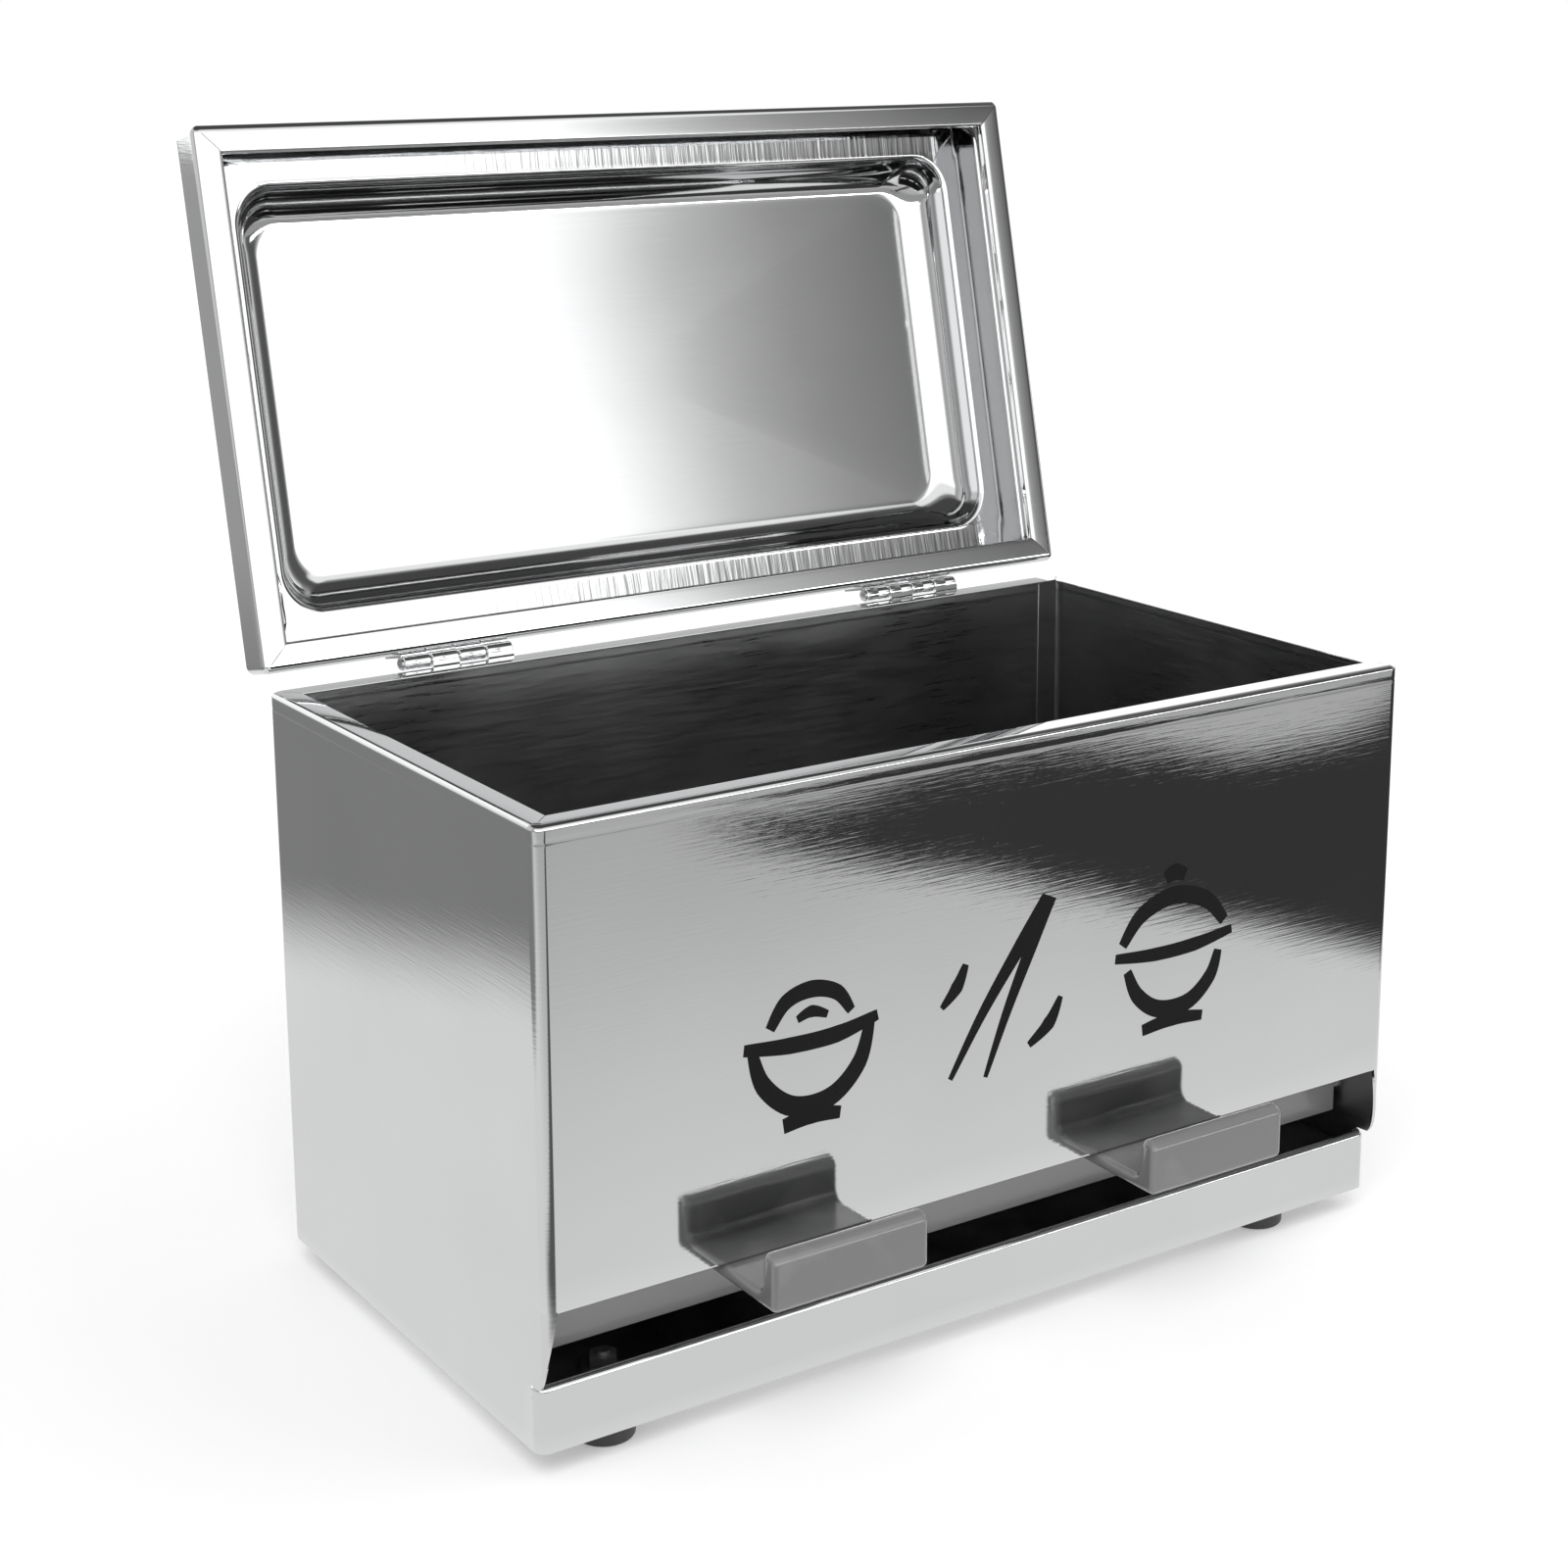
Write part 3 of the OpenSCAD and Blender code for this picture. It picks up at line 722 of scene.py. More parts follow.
@dataclass
class Fitter:
    """Hands a finished piece to the frame: its material, body and the nodes it stands for."""

    frame: dict
    finishes: Finishes
    count: int = 0

    def fit(
        self,
        piece: bpy.types.Object,
        material: bpy.types.Material,
        slot: Slot,
        body: Body,
        *nodes: str,
    ) -> bpy.types.Object:
        """Dresses a piece and fixes it to a body.

        Args:
            piece: The mesh object.
            material: Its finish.
            slot: The record's material slot; not used.
            body: The body it rides on.
            nodes: CAD nodes that the piece stands for.

        Returns:
            The same piece.
        """
        if piece.data.materials:
            piece.data.materials[0] = material
        else:
            piece.data.materials.append(material)
        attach(piece, body.value)
        if nodes:
            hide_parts(*nodes)
        self.count += 1
        LOG.info("piece %s: %d faces", piece.name, len(piece.data.polygons))
        return piece

    def dress(self, node: str, material: bpy.types.Material) -> None:
        """Gives a CAD node that stays its finish."""
        data = self.frame["nodes"][node].data
        if not data.materials:
            data.materials.append(material)
        for i in range(len(data.materials)):
            data.materials[i] = material
        LOG.info("kept node %s", node)


# The box


@dataclass(frozen=True)
class BoxShell:
    """The folded box: walls, rim, front panel, rail, hems and the lapped seam."""

    sizes: Sizes
    crease_below_rim: float = 4.6
    crease_width: float = 0.45
    crease_depth: float = 0.1
    slit: float = 0.14
    rail_roll: float = 1.5

    def side_front(self, z: float) -> float:
        """Where a side wall's front edge is at a height: it curves back from the panel to the rail."""
        s = self.sizes
        if z <= s.rail_top:
            return s.rail_y + s.corner
        a = math.asin(min(max(s.panel_low - z, 0.0) / s.mouth, 1.0))
        return s.front + s.rail_back * (1 - math.cos(a))

    def upper_levels(self) -> list[Level]:
        """The lines from the panel's lower edge up over the rim to the flange's inner edge."""
        s = self.sizes
        start = s.panel_low + s.sheet
        crease = s.rim_z - self.crease_below_rim
        levels = [Level(0, s.corner, start + (crease - 1 - start) * i / 14) for i in range(15)]
        for step, depth in ((-1, 0), (0, 1), (1, 0)):
            inset = self.crease_depth * depth
            levels.append(Level(inset, s.corner - inset, crease + step * self.crease_width))
        bend = s.rim_bend
        for u, v in arc((bend, s.rim_z - bend), bend, 180, 90, 6):
            levels.append(Level(u, s.corner - u, v))
        levels.append(Level(s.corner, 0, s.rim_z))
        for share in (0.02, 0.5, 0.97):
            inset = s.corner + (s.rim - s.corner) * share
            levels.append(Level(inset, 0, s.rim_z - (0.12 if share == 0.97 else 0), self.slit))
        levels.append(Level(s.rim, 0, s.rim_z - 0.35, self.slit))
        return levels

    def lower_rows(self, ring: Ring, number: int) -> list[list[Point]]:
        """The rows of one wall under the panel's lower edge."""
        s = self.sizes
        start = s.panel_low + s.sheet
        steps = 10
        heights = [start]
        heights += [s.panel_low - s.mouth * math.sin(math.pi / 2 * i / steps) for i in range(steps + 1)]
        heights += [s.rail_top - 0.01, s.foot_show + 4.9, s.foot_show + 4.5, s.foot_show]
        return [ring.run(Level(0, s.corner, z), number, self.side_front(z)) for z in heights]

    def walls(self) -> Sheet:
        """The outer face of the walls and the rim."""
        s = self.sizes
        sheet = Sheet()
        ring = Ring(s.width, s.depth, 0.0)
        ring.sweep(sheet, self.upper_levels())
        for number in (1, 2, 3):
            sheet.skin(self.lower_rows(ring, number))
        return sheet

    def rail(self) -> Sheet:
        """The outer face of the rail, rolled over at its top."""
        s = self.sizes
        sheet = Sheet()
        roll = self.rail_roll
        groove = s.rail_top - 3.4
        line: list[Flat] = [(0, s.foot_show), (0, s.foot_show + 4.6), (0.08, s.foot_show + 5)]
        line += [(0, s.foot_show + 5.4), (0, groove - 0.5), (0.12, groove), (0, groove + 0.5)]
        line += arc((roll, s.rail_top - roll), roll, 180, 0, 12)
        line += [(2 * roll, s.rail_top - s.hem)]
        straight, r = s.width / 2 - s.corner, s.corner
        steps = 40
        rows = []
        for inset, z in line:
            left = arc((-straight, s.rail_y + r), r - inset, 180, 270, 10)
            right = arc((straight, s.rail_y + r), r - inset, 270, 360, 10)
            flat = [(straight * (2 * i / steps - 1), s.rail_y + inset) for i in range(1, steps)]
            rows.append([(x, y, z) for x, y in left + flat + right])
        sheet.skin(rows)
        return sheet

    def panel_hem(self) -> Sheet:
        """The folded edge under the front panel."""
        s = self.sizes
        t = s.sheet
        z = s.panel_low + t
        fold = arc((s.front + t, z), t, 180, 360, 8)
        outline = fold + [(s.front + 2 * t, z + s.hem), (s.front + t, z + s.hem), (s.front + t, z)]
        sheet = Sheet()
        half = s.width / 2 - s.corner
        sheet.prism(outline, -half, half)
        return sheet

    def lap(self) -> Sheet:
        """The sheet's end, lapped inside the back wall by the right corner."""
        s = self.sizes
        inner_x = s.width / 2 - s.sheet
        inner_y = s.back - s.sheet
        low, high = s.foot_show + s.pan_rise + 2, s.rim_z - s.sheet - 0.2
        sheet = Sheet()
        sheet.prism(block(inner_y + 0.02, low, inner_y - s.sheet, high), inner_x - s.lap, inner_x - 1.3)
        return sheet

    def build(self, shop: Workshop, fitter: Fitter) -> None:
        """Builds and fits the shell's pieces."""
        steel = fitter.finishes.panel
        thickness = self.sizes.sheet
        # The inner faces take the darker inner finish, which is painted shade for the inside of the box.
        inner = fitter.finishes.inside
        walls = fold(self.walls(), "box_walls", shop.stand, thickness, inner=inner)
        fitter.fit(walls, steel, Slot.POLISHED, Body.BOX, "body_shell")
        rail = fold(self.rail(), "front_rail", shop.stand, thickness * 0.9, 40)
        fitter.fit(rail, steel, Slot.POLISHED, Body.BOX, "body_shell")
        hem = self.panel_hem().build("panel_hem", shop.stand)
        flatten_shading(hem)
        fitter.fit(hem, steel, Slot.POLISHED, Body.BOX, "body_shell")
        lap = self.lap().build("lapped_seam", shop.stand)
        round_edges(lap, 0.2, 2)
        # The lapped seam inside the back wall takes the same painted-shade inner finish.
        fitter.fit(lap, fitter.finishes.inside, Slot.POLISHED, Body.BOX, "body_shell")


@dataclass(frozen=True)
class PrintedMotifs:
    """Three plain kitchen pictures printed in black on the front panel, drawn with a brush's strokes."""

    sizes: Sizes
    lift: float = 0.06
    height: float = 46.0
    pitch: float = 62.0
    centre_x: float = -3.0
    centre_z: float = 104.0

    def stroke(self, sheet: Sheet, path: Sequence[Flat], widths: Sequence[float], layer: int) -> None:
        """One brush stroke: a ribbon along a smooth line, with a width at each of its points."""
        points, wide = [], []
        steps = 8
        for i in range(len(path) - 1):
            p0 = Vector(path[max(i - 1, 0)])
            p1, p2 = Vector(path[i]), Vector(path[i + 1])
            p3 = Vector(path[min(i + 2, len(path) - 1)])
            for k in range(steps + (1 if i == len(path) - 2 else 0)):
                t = k / steps
                points.append(
                    0.5 * ((2 * p1) + (p2 - p0) * t + (2 * p0 - 5 * p1 + 4 * p2 - p3) * t * t
                           + (3 * p1 - p0 - 3 * p2 + p3) * t ** 3)
                )
                wide.append(widths[i] + (widths[i + 1] - widths[i]) * t)
        a, b = [], []
        y = self.sizes.front - self.lift - 0.004 * layer
        for i, p in enumerate(points):
            way = (points[min(i + 1, len(points) - 1)] - points[max(i - 1, 0)]).normalized()
            side = Vector((-way.y, way.x)) * wide[i] / 2
            a.append((p.x + side.x, y, p.y + side.y))
            b.append((p.x - side.x, y, p.y - side.y))
        sheet.skin([a, b])

    def draw(self, sheet: Sheet, strokes: Sequence[Stroke], x: float) -> None:
        """Draws one motif's strokes about a middle."""
        for layer, (path, widths) in enumerate(strokes):
            moved = [(x + u, self.centre_z + v) for u, v in path]
            self.stroke(sheet, moved, widths, layer)

    def build(self, shop: Workshop, fitter: Fitter) -> None:
        """Builds and fits the three motifs."""
        rice_bowl = [
            ([(-21, 1), (-7, -0.6), (8, -0.6), (21, 2)], [3.2, 4.6, 4.8, 3.0]),
            ([(-18.5, 0), (-15, -10), (-6, -17.5), (6, -17.5), (15, -10), (18.5, 1)],
             [3.0, 5.0, 5.6, 5.6, 5.0, 3.2]),
            ([(-9, -22.5), (0, -21.4), (9, -22.6)], [4.2, 4.8, 3.4]),
            ([(-13, 5), (-8, 11.5), (0, 13.5), (8, 11), (12.5, 5)], [3.0, 4.4, 4.8, 4.2, 2.6]),
            ([(-4.5, 6), (0, 7.4), (5, 5.6)], [2.0, 3.4, 2.0]),
        ]
        chopsticks = [
            ([(-17, -22), (-6, -5), (7, 12), (16, 23)], [1.6, 3.2, 4.6, 5.6]),
            ([(-5, -24), (2, -7), (10, 10), (16.5, 24)], [1.4, 3.0, 4.2, 5.2]),
            ([(-20, -1), (-15, 4), (-12, 10)], [1.6, 4.2, 2.0]),
            ([(10, -18), (17, -13), (21, -6)], [2.0, 4.4, 1.6]),
        ]
        lidded_bowl = [
            ([(-19, 4), (-12, 12), (0, 15.5), (12, 12), (19, 4.5)], [3.2, 5.0, 5.4, 5.0, 3.4]),
            ([(-3.5, 21), (0, 22.4), (3.8, 21)], [3.8, 5.0, 3.6]),
            ([(-21.5, 0.6), (-7, -0.8), (8, -0.6), (22, 1.4)], [2.8, 4.0, 4.2, 2.6]),
            ([(-17, -4), (-13, -12), (-5, -17.5), (6, -17.5), (14, -11.5), (17, -4)],
             [2.8, 4.6, 5.2, 5.2, 4.6, 2.8]),
            ([(-11, -22.8), (0, -21.6), (11.5, -22.8)], [3.4, 4.4, 3.0]),
        ]
        for number, strokes in enumerate((rice_bowl, chopsticks, lidded_bowl)):
            sheet = Sheet()
            x = self.centre_x + (number - 1) * self.pitch
            self.draw(sheet, strokes, x)
            name = ("printed_rice_bowl", "printed_chopsticks", "printed_lidded_bowl")[number]
            piece = sheet.build(name, shop.stand, sharp=60)
            face_front(piece)
            fitter.fit(piece, fitter.finishes.print, Slot.POLISHED, Body.BOX)


def face_front(piece: bpy.types.Object) -> None:
    """Turns a flat piece's faces to the front."""
    work = bmesh.new()
    work.from_mesh(piece.data)
    bmesh.ops.reverse_faces(work, faces=[f for f in work.faces if f.normal.y > 0])
    work.to_mesh(piece.data)
    work.free()


# The lid


@dataclass(frozen=True)
class PressedLid:
    """The pressed lid, drawn closed and turned open: flange, skirt, border, bead and raised middle."""

    sizes: Sizes
    set_back: float = 1.5
    gap: float = 0.4
    skirt: float = 16.0
    flange: float = 8.5
    lip: float = 2.5
    border: float = 16.0
    rise: float = 13.75
    step_radius: float = 13.0
    cove: float = 11.0
    corner: float = 2.5
    bend: float = 2.2
    flange_bend: float = 0.9
    bead: float = 1.0
    border_bend: float = 3.0
    border_fall: float = 0.7
    crown: float = 0.14
    slit: float = 0.14
    dish: float = 0.5
    crease_start: float = 4.0
    crease_band: float = 1.9
    crease_from_side: float = 14.0

    @property
    def depth(self) -> float:
        """Depth of the lid from its front skirt to its back skirt."""
        return self.sizes.depth - self.set_back

    @property
    def low(self) -> float:
        """Height of the closed lid's flange."""
        return self.sizes.rim_z + self.gap

    def skirt_levels(self) -> list[Level]:
        """The lines from the lip inside the flange, out round the skirt and in over the border."""
        low, b = self.low, self.bend
        inner, turned = self.flange, self.flange_bend
        levels = [Level(inner, 0, low + self.lip, self.slit), Level(inner, 0, low + 1.0, self.slit)]
        for u, v in arc((inner - turned, low + turned + self.crown), turned, 0, -80, 5):
            levels.append(Level(u, 0, v, self.slit))
        for share in (0.85, 0.7, 0.5, 0.3, 0.15, 0.02):
            inset = self.corner + (inner - turned - self.corner) * share
            levels.append(Level(inset, 0, low + self.crown * share ** 2, self.slit))
        levels.append(Level(self.corner, 0, low))
        for u, v in arc((b, low + b), b, 270, 180, 7):
            levels.append(Level(u, self.corner - u, v))
        top, far = low + self.skirt - self.border_fall, self.border_bend
        for i in range(1, 4):
            levels.append(Level(0, self.corner, low + b + (self.skirt - b - far) * i / 4))
        for u, v in arc((far, top - far), far, 180, 90, 12):
            levels.append(Level(u, self.plan_radius(u), v))
        return levels + self.border_levels(low + self.skirt)

    def plan_radius(self, inset: float) -> float:
        """The border's corner radius, which grows from the skirt's to the bead's."""
        return self.corner + (self.step_radius - self.corner) * (inset / self.border) ** 2

    def border_levels(self, top: float) -> list[Level]:
        """The lines of the border, the bead and the sloping band up to the flat middle."""
        levels = []
        first = self.border_bend
        for share in (0.2, 0.4, 0.6, 0.85):
            inset = first + (self.border - first) * share
            z = top - self.border_fall * (1 - share)
            levels.append(Level(inset, self.plan_radius(inset), z))
        for u, v in arc((self.border - self.bead, top + self.bead), self.bead, 270, 354, 6):
            levels.append(Level(u, self.step_radius, v - 0.25))
        for inset, climb in self.wall_line():
            radius = self.step_radius - 3.0 * inset / self.cove
            levels.append(Level(self.border + inset, radius, top + climb))
        inset = self.border + self.cove
        reach_x = self.sizes.width / 2 - inset
        reach_y = self.depth / 2 - inset
        for share in (0.03, 0.3, 0.6, 0.85):
            levels.append(Level(
                inset + reach_x * share,
                10.0 * (1 - share),
                top + self.rise - self.dish * math.sin(share * math.pi / 2),
                inset_y=inset + reach_y * share,
            ))
        return levels

    def wall_line(self) -> list[Flat]:
        """The recess's wall as inset and climb: a steep rise that rolls over into the flat middle."""
        quarter = arc((0, 0), 1, 7, 90, 20)
        return [(self.cove * (1 - across), self.rise * up) for across, up in quarter]

    def pressing(self) -> Sheet:
        """The lid's outer face, with a plate in the middle."""
        s = self.sizes
        ring = Ring(s.width, self.depth, self.set_back / 2, 44, 26, arc_steps=9)
        sheet = Sheet()
        levels = self.skirt_levels()
        ring.sweep(sheet, levels)
        middle = [p for number in range(4) for p in ring.run(levels[-1], number)]
        sheet.faces.append(tuple(sheet.row(middle)))
        return sheet

    def mark_creases(self, piece: bpy.types.Object, shop: Workshop) -> None:
        """Writes where the border's pressing left fine wrinkles, for the finish to read."""
        s = self.sizes
        turn = math.radians(s.open_angle)
        axis_y, axis_z = s.axis
        marks = piece.data.attributes.new("crease", "FLOAT", "POINT")
        top = self.low + self.skirt
        for vertex, mark in zip(piece.data.vertices, marks.data):
            x = vertex.co.x / MM
            y = vertex.co.y / MM + shop.middle - axis_y
            z = vertex.co.z / MM - axis_z
            back_y = axis_y + y * math.cos(turn) - z * math.sin(turn)
            back_z = axis_z + y * math.sin(turn) + z * math.cos(turn)
            edge_y = min(back_y - s.front - self.set_back, s.back - back_y)
            on_border = abs(back_z - top) < self.crease_band and self.crease_start < edge_y < self.border
            inside_x = s.width / 2 - abs(x) > self.crease_from_side
            mark.value = 1.0 if on_border and inside_x else 0.0

    def build(self, shop: Workshop, fitter: Fitter) -> None:
        """Builds and fits the lid."""
        piece = fold(self.pressing(), "pressed_lid", shop.opened, self.sizes.sheet)
        self.mark_creases(piece, shop)
        fitter.fit(piece, fitter.finishes.lid, Slot.POLISHED, Body.LID, "lid_pan")


# Hinges


@dataclass(frozen=True)
class ButtHinge:
    """A small butt hinge: two leaves with rolled knuckles, and a pin with a low round head."""

    sizes: Sizes
    side: Side
    pin: float = 2.6
    gap: float = 0.5
    leaf: float = 0.9
    leaf_height: float = 11.0
    leaf_corner: float = 1.6
    knuckles: int = 4

    @property
    def left(self) -> float:
        """The hinge's left end."""
        s = self.sizes
        return self.side.value * (s.width / 2 - s.hinge_from_side) - s.hinge_length / 2

    @property
    def knuckle_length(self) -> float:
        """Length of one knuckle."""
        return (self.sizes.hinge_length - (self.knuckles - 1) * self.gap) / self.knuckles

    def knuckle(self, sheet: Sheet, number: int) -> None:
        """One rolled knuckle with broken edges."""
        s = self.sizes
        x = self.left + number * (self.knuckle_length + self.gap)
        r, hole, edge = s.knuckle / 2, self.pin / 2 + 0.02, 0.28
        long = self.knuckle_length
        outline = [(hole, 0.1), (r - edge, 0), (r, edge), (r, long * 0.48), (r - 0.03, long * 0.5),
                   (r, long * 0.52), (r, long - edge), (r - edge, long), (hole, long - 0.1)]
        sheet.turned(outline, (x, s.axis[0], s.axis[1]), "x", 36)

    def leaf_sheet(self, first: int, up: bool) -> Sheet:
        """A leaf's plate, its tabs and its knuckles."""
        s = self.sizes
        sheet = Sheet()
        axis_z = s.axis[1]
        way = 1 if up else -1
        near = axis_z + way * (s.knuckle / 2 + 0.4)
        far = axis_z + way * (s.hinge_rise + self.leaf_height)
        self.plate(sheet, min(near, far), max(near, far), up)
        for i in range(first, self.knuckles, 2):
            x = self.left + i * (self.knuckle_length + self.gap)
            tab = block(s.back, min(near, axis_z), s.back + self.leaf, max(near, axis_z))
            sheet.prism(tab, x, x + self.knuckle_length)
            self.knuckle(sheet, i)
        return sheet

    def plate(self, sheet: Sheet, low: float, high: float, up: bool) -> None:
        """The flat of a leaf between two heights, with its two far corners rounded."""
        s, r = self.sizes, self.leaf_corner
        x0, x1 = self.left, self.left + s.hinge_length
        if up:
            line = [(x0, low), (x1, low)] + arc((x1 - r, high - r), r, 0, 90, 5)
            line += arc((x0 + r, high - r), r, 90, 180, 5)
        else:
            line = [(x1, high), (x0, high)] + arc((x0 + r, low + r), r, 180, 270, 5)
            line += arc((x1 - r, low + r), r, 270, 360, 5)
        a = sheet.row([(x, s.back, z) for x, z in line])
        b = sheet.row([(x, s.back + self.leaf, z) for x, z in line])
        sheet.strip(a, b, closed=True)
        sheet.faces.append(tuple(a))
        sheet.faces.append(tuple(reversed(b)))

    def pin_sheet(self) -> Sheet:
        """The pin, with a domed head on its left end and a riveted right end."""
        s = self.sizes
        r = self.pin / 2
        length = s.hinge_length + 0.5
        head = (s.knuckle + self.pin) / 4
        outline = [(0.01, -0.8), (head * 0.7, -0.72), (head, -0.4), (head, 0), (r, 0),
                   (r, length - 0.2), (r * 0.8, length), (0.01, length)]
        sheet = Sheet()
        sheet.turned(outline, (self.left - 0.2, s.axis[0], s.axis[1]), "x", 28)
        return sheet

    def build(self, shop: Workshop, fitter: Fitter) -> None:
        """Builds and fits the hinge's three pieces."""
        word = self.side.word
        zinc = fitter.finishes.zinc
        body_leaf = self.leaf_sheet(1, False).build(word + "_hinge_lower_leaf", shop.stand)
        fitter.fit(body_leaf, zinc, Slot.ZINC, Body.BOX, word + "_hinge_body_leaf")
        lid_leaf = self.leaf_sheet(0, True).build(word + "_hinge_upper_leaf", shop.opened)
        fitter.fit(lid_leaf, zinc, Slot.ZINC, Body.LID, word + "_hinge_lid_leaf")
        pin = self.pin_sheet().build(word + "_hinge_rod", shop.stand)
        fitter.fit(pin, fitter.finishes.wire, Slot.ZINC, Body.BOX, word + "_hinge_pin")


# The press lever


@dataclass(frozen=True)
class PressLever:
    """The moulded lever: a bar behind the mouth and two hooks that reach out under the panel."""

    sizes: Sizes
    hook_width: float = 48.5
    hook_pitch: float = 125.0
    hook_offset: float = -6.0
    reach: float = 24.0
    lip_height: float = 12.0
    lip: float = 6.0
    tray: float = 3.8
    fillet: float = 3.0
    fascia_depth: float = 17.0
    fascia: float = 2.2
    fascia_low: float = 22.0
    end_gap: float = 2.2
    boss: float = 9.0
    boss_short: float = 6.2
    shaft_behind: float = 6.0
    edge: float = 1.8

    @property
    def tray_top(self) -> float:
        """Height of the hooks' trays."""
        return self.sizes.panel_low - self.sizes.clearance

    @property
    def fascia_y(self) -> float:
        """The bar's front face."""
        return self.sizes.front + self.fascia_depth

    @property
    def shaft(self) -> Flat:
        """The shaft's axis, as y and z."""
        return (self.fascia_y + self.shaft_behind, self.tray_top - self.boss / 2 - 0.2)

    def hook_outline(self) -> list[Flat]:
        """A hook from the side: tray, lip with a full round top, and the inner fillet."""
        low = self.tray_top - self.tray
        front = self.sizes.front - self.reach
        r = self.lip / 2
        bottom, top = 2.0, self.tray_top + self.lip_height
        line = [(self.fascia_y + self.fascia / 2, low)]
        line += arc((front + bottom, low + bottom), bottom, 270, 180, 6)
        line += arc((front + r, top - r), r, 180, 0, 14)
        line += arc((front + self.lip + self.fillet, self.tray_top + self.fillet), self.fillet, 180, 270, 8)
        line += [(self.fascia_y + self.fascia / 2, self.tray_top)]
        return line

    def bar_outline(self) -> list[Flat]:
        """The bar from the side: fascia, cap and the tube that turns on the shaft."""
        y, z = self.shaft
        r = self.boss / 2
        low = self.sizes.foot_show + self.fascia_low
        back = self.fascia_y + self.fascia
        meet = -math.degrees(math.acos((back - y) / r))
        line = [(self.fascia_y, low), (self.fascia_y, self.tray_top), (y, self.tray_top)]
        line += arc((y, z), r, 90, meet, 20)
        line += [(back, low)]
        return line

    def build(self, shop: Workshop, fitter: Fitter) -> None:
        """Builds and fits the bar and the two hooks."""
        s = self.sizes
        smoke = fitter.finishes.smoke
        low = s.foot_show + self.fascia_low
        fascia_x = s.width / 2 - s.sheet - self.end_gap
        boss_x = fascia_x - self.boss_short
        sheet = Sheet()
        sheet.prism(self.bar_outline(), -boss_x, boss_x)
        back = self.fascia_y + self.fascia
        end = [(self.fascia_y, low), (self.fascia_y, self.tray_top), (back, self.tray_top), (back, low)]
        sheet.prism(end, -fascia_x, -boss_x)
        sheet.prism(end, boss_x, fascia_x)
        bar = sheet.build("lever_bar", shop.stand)
        round_edges(bar, 0.4, 2)
        smooth(bar, 50)
        flatten_shading(bar)
        fitter.fit(bar, smoke, Slot.SMOKE, Body.LEVER, "press_lever")
        for side in Side:
            x = self.hook_offset + side.value * self.hook_pitch / 2
            sheet = Sheet()
            sheet.prism(self.hook_outline(), x - self.hook_width / 2, x + self.hook_width / 2)
            hook = sheet.build(side.word + "_hook", shop.stand)
            round_edges(hook, self.edge, 5)
            smooth(hook, 50)
            flatten_shading(hook)
            fitter.fit(hook, smoke, Slot.SMOKE, Body.LEVER, "press_lever")


@dataclass(frozen=True)
class ReturnSpring:
    """A wound wire spring round the shaft, with one leg down the bar and one to the bracket's peg."""

    sizes: Sizes
    lever: PressLever
    side: Side
    wire: float = 0.9
    turns: int = 5
    shaft_radius: float = 2.0
    gap: float = 0.4
    from_wall: float = 2.4
    peg_behind: float = 9.0

    def path(self) -> list[Point]:
        """The wire's middle line."""
        s = self.sizes
        y, z = self.lever.shaft
        outer = s.width / 2 - s.sheet - self.from_wall - self.gap - self.wire / 2
        pitch = self.wire * 0.94
        r = self.shaft_radius + self.gap + self.wire / 2
        points: list[Point] = [(outer, y + self.peg_behind - t, z - r) for t in (0.0, 3.0, 6.0)]
        total = self.turns - 0.75
        steps = int(total * 28)
        for i in range(steps + 1):
            a = -90 - 360 * total * i / steps
            t = math.radians(a)
            points.append((outer - pitch * (self.turns - 1) * i / steps,
                           y + r * math.cos(t), z + r * math.sin(t)))
        end = points[-1]
        points += [(end[0], end[1], z - 4.0), (end[0], end[1], z - 10.0)]
        return [(self.side.value * p[0], p[1], p[2]) for p in points]

    def build(self, shop: Workshop, fitter: Fitter) -> None:
        """Builds and fits the spring."""
        sheet = Sheet()
        sheet.tube(self.path(), self.wire / 2 * 0.97, 8)
        name = self.side.word + "_wound_spring"
        piece = sheet.build(name, shop.stand, sharp=70)
        fitter.fit(piece, fitter.finishes.wire, Slot.ZINC, Body.BOX, self.side.word + "_return_spring")


# Feet


@dataclass(frozen=True)
class RubberFoot:
    """A moulded rubber foot with a rolled sole edge, a parting ring and a recess for its screw."""

    sizes: Sizes
    side: Side
    at_front: bool
    diameter: float = 17.0

    @property
    def node(self) -> str:
        """The CAD node that the foot stands for."""
        return f"{'front' if self.at_front else 'back'}_{self.side.word}_foot"

    def build(self, shop: Workshop, fitter: Fitter) -> None:
        """Builds and fits the foot."""
        s = self.sizes
        x = s.foot_shift + self.side.value * (s.width / 2 - s.foot_from_side)
        y = (-1 if self.at_front else 1) * (s.depth / 2 - s.foot_from_front)
        r = self.diameter / 2
        top = s.foot_show + s.pan_rise
        sole = [(4.0, 0.4), (4.4, 0.0), (r - 1.3, 0.0)]
        sole += [(r - 1.3 + a, 1.1 + b) for a, b in arc((0, 0), 1.1, 270, 360, 5)]
        outline = sole + [(r - 0.1, 5.4), (r, 5.6), (r, 6.2), (r - 0.1, 6.4), (r, 7.2), (r, top)]
        outline += [(2.2, top), (2.2, 5.6), (4.0, 5.6)]
        sheet = Sheet()
        sheet.turned(outline, (x, y, 0.0), "z", 48)
        piece = sheet.build(self.node + "_moulding", shop.stand)
        fitter.fit(piece, fitter.finishes.rubber, Slot.RUBBER, Body.BOX, self.node)


# Studio


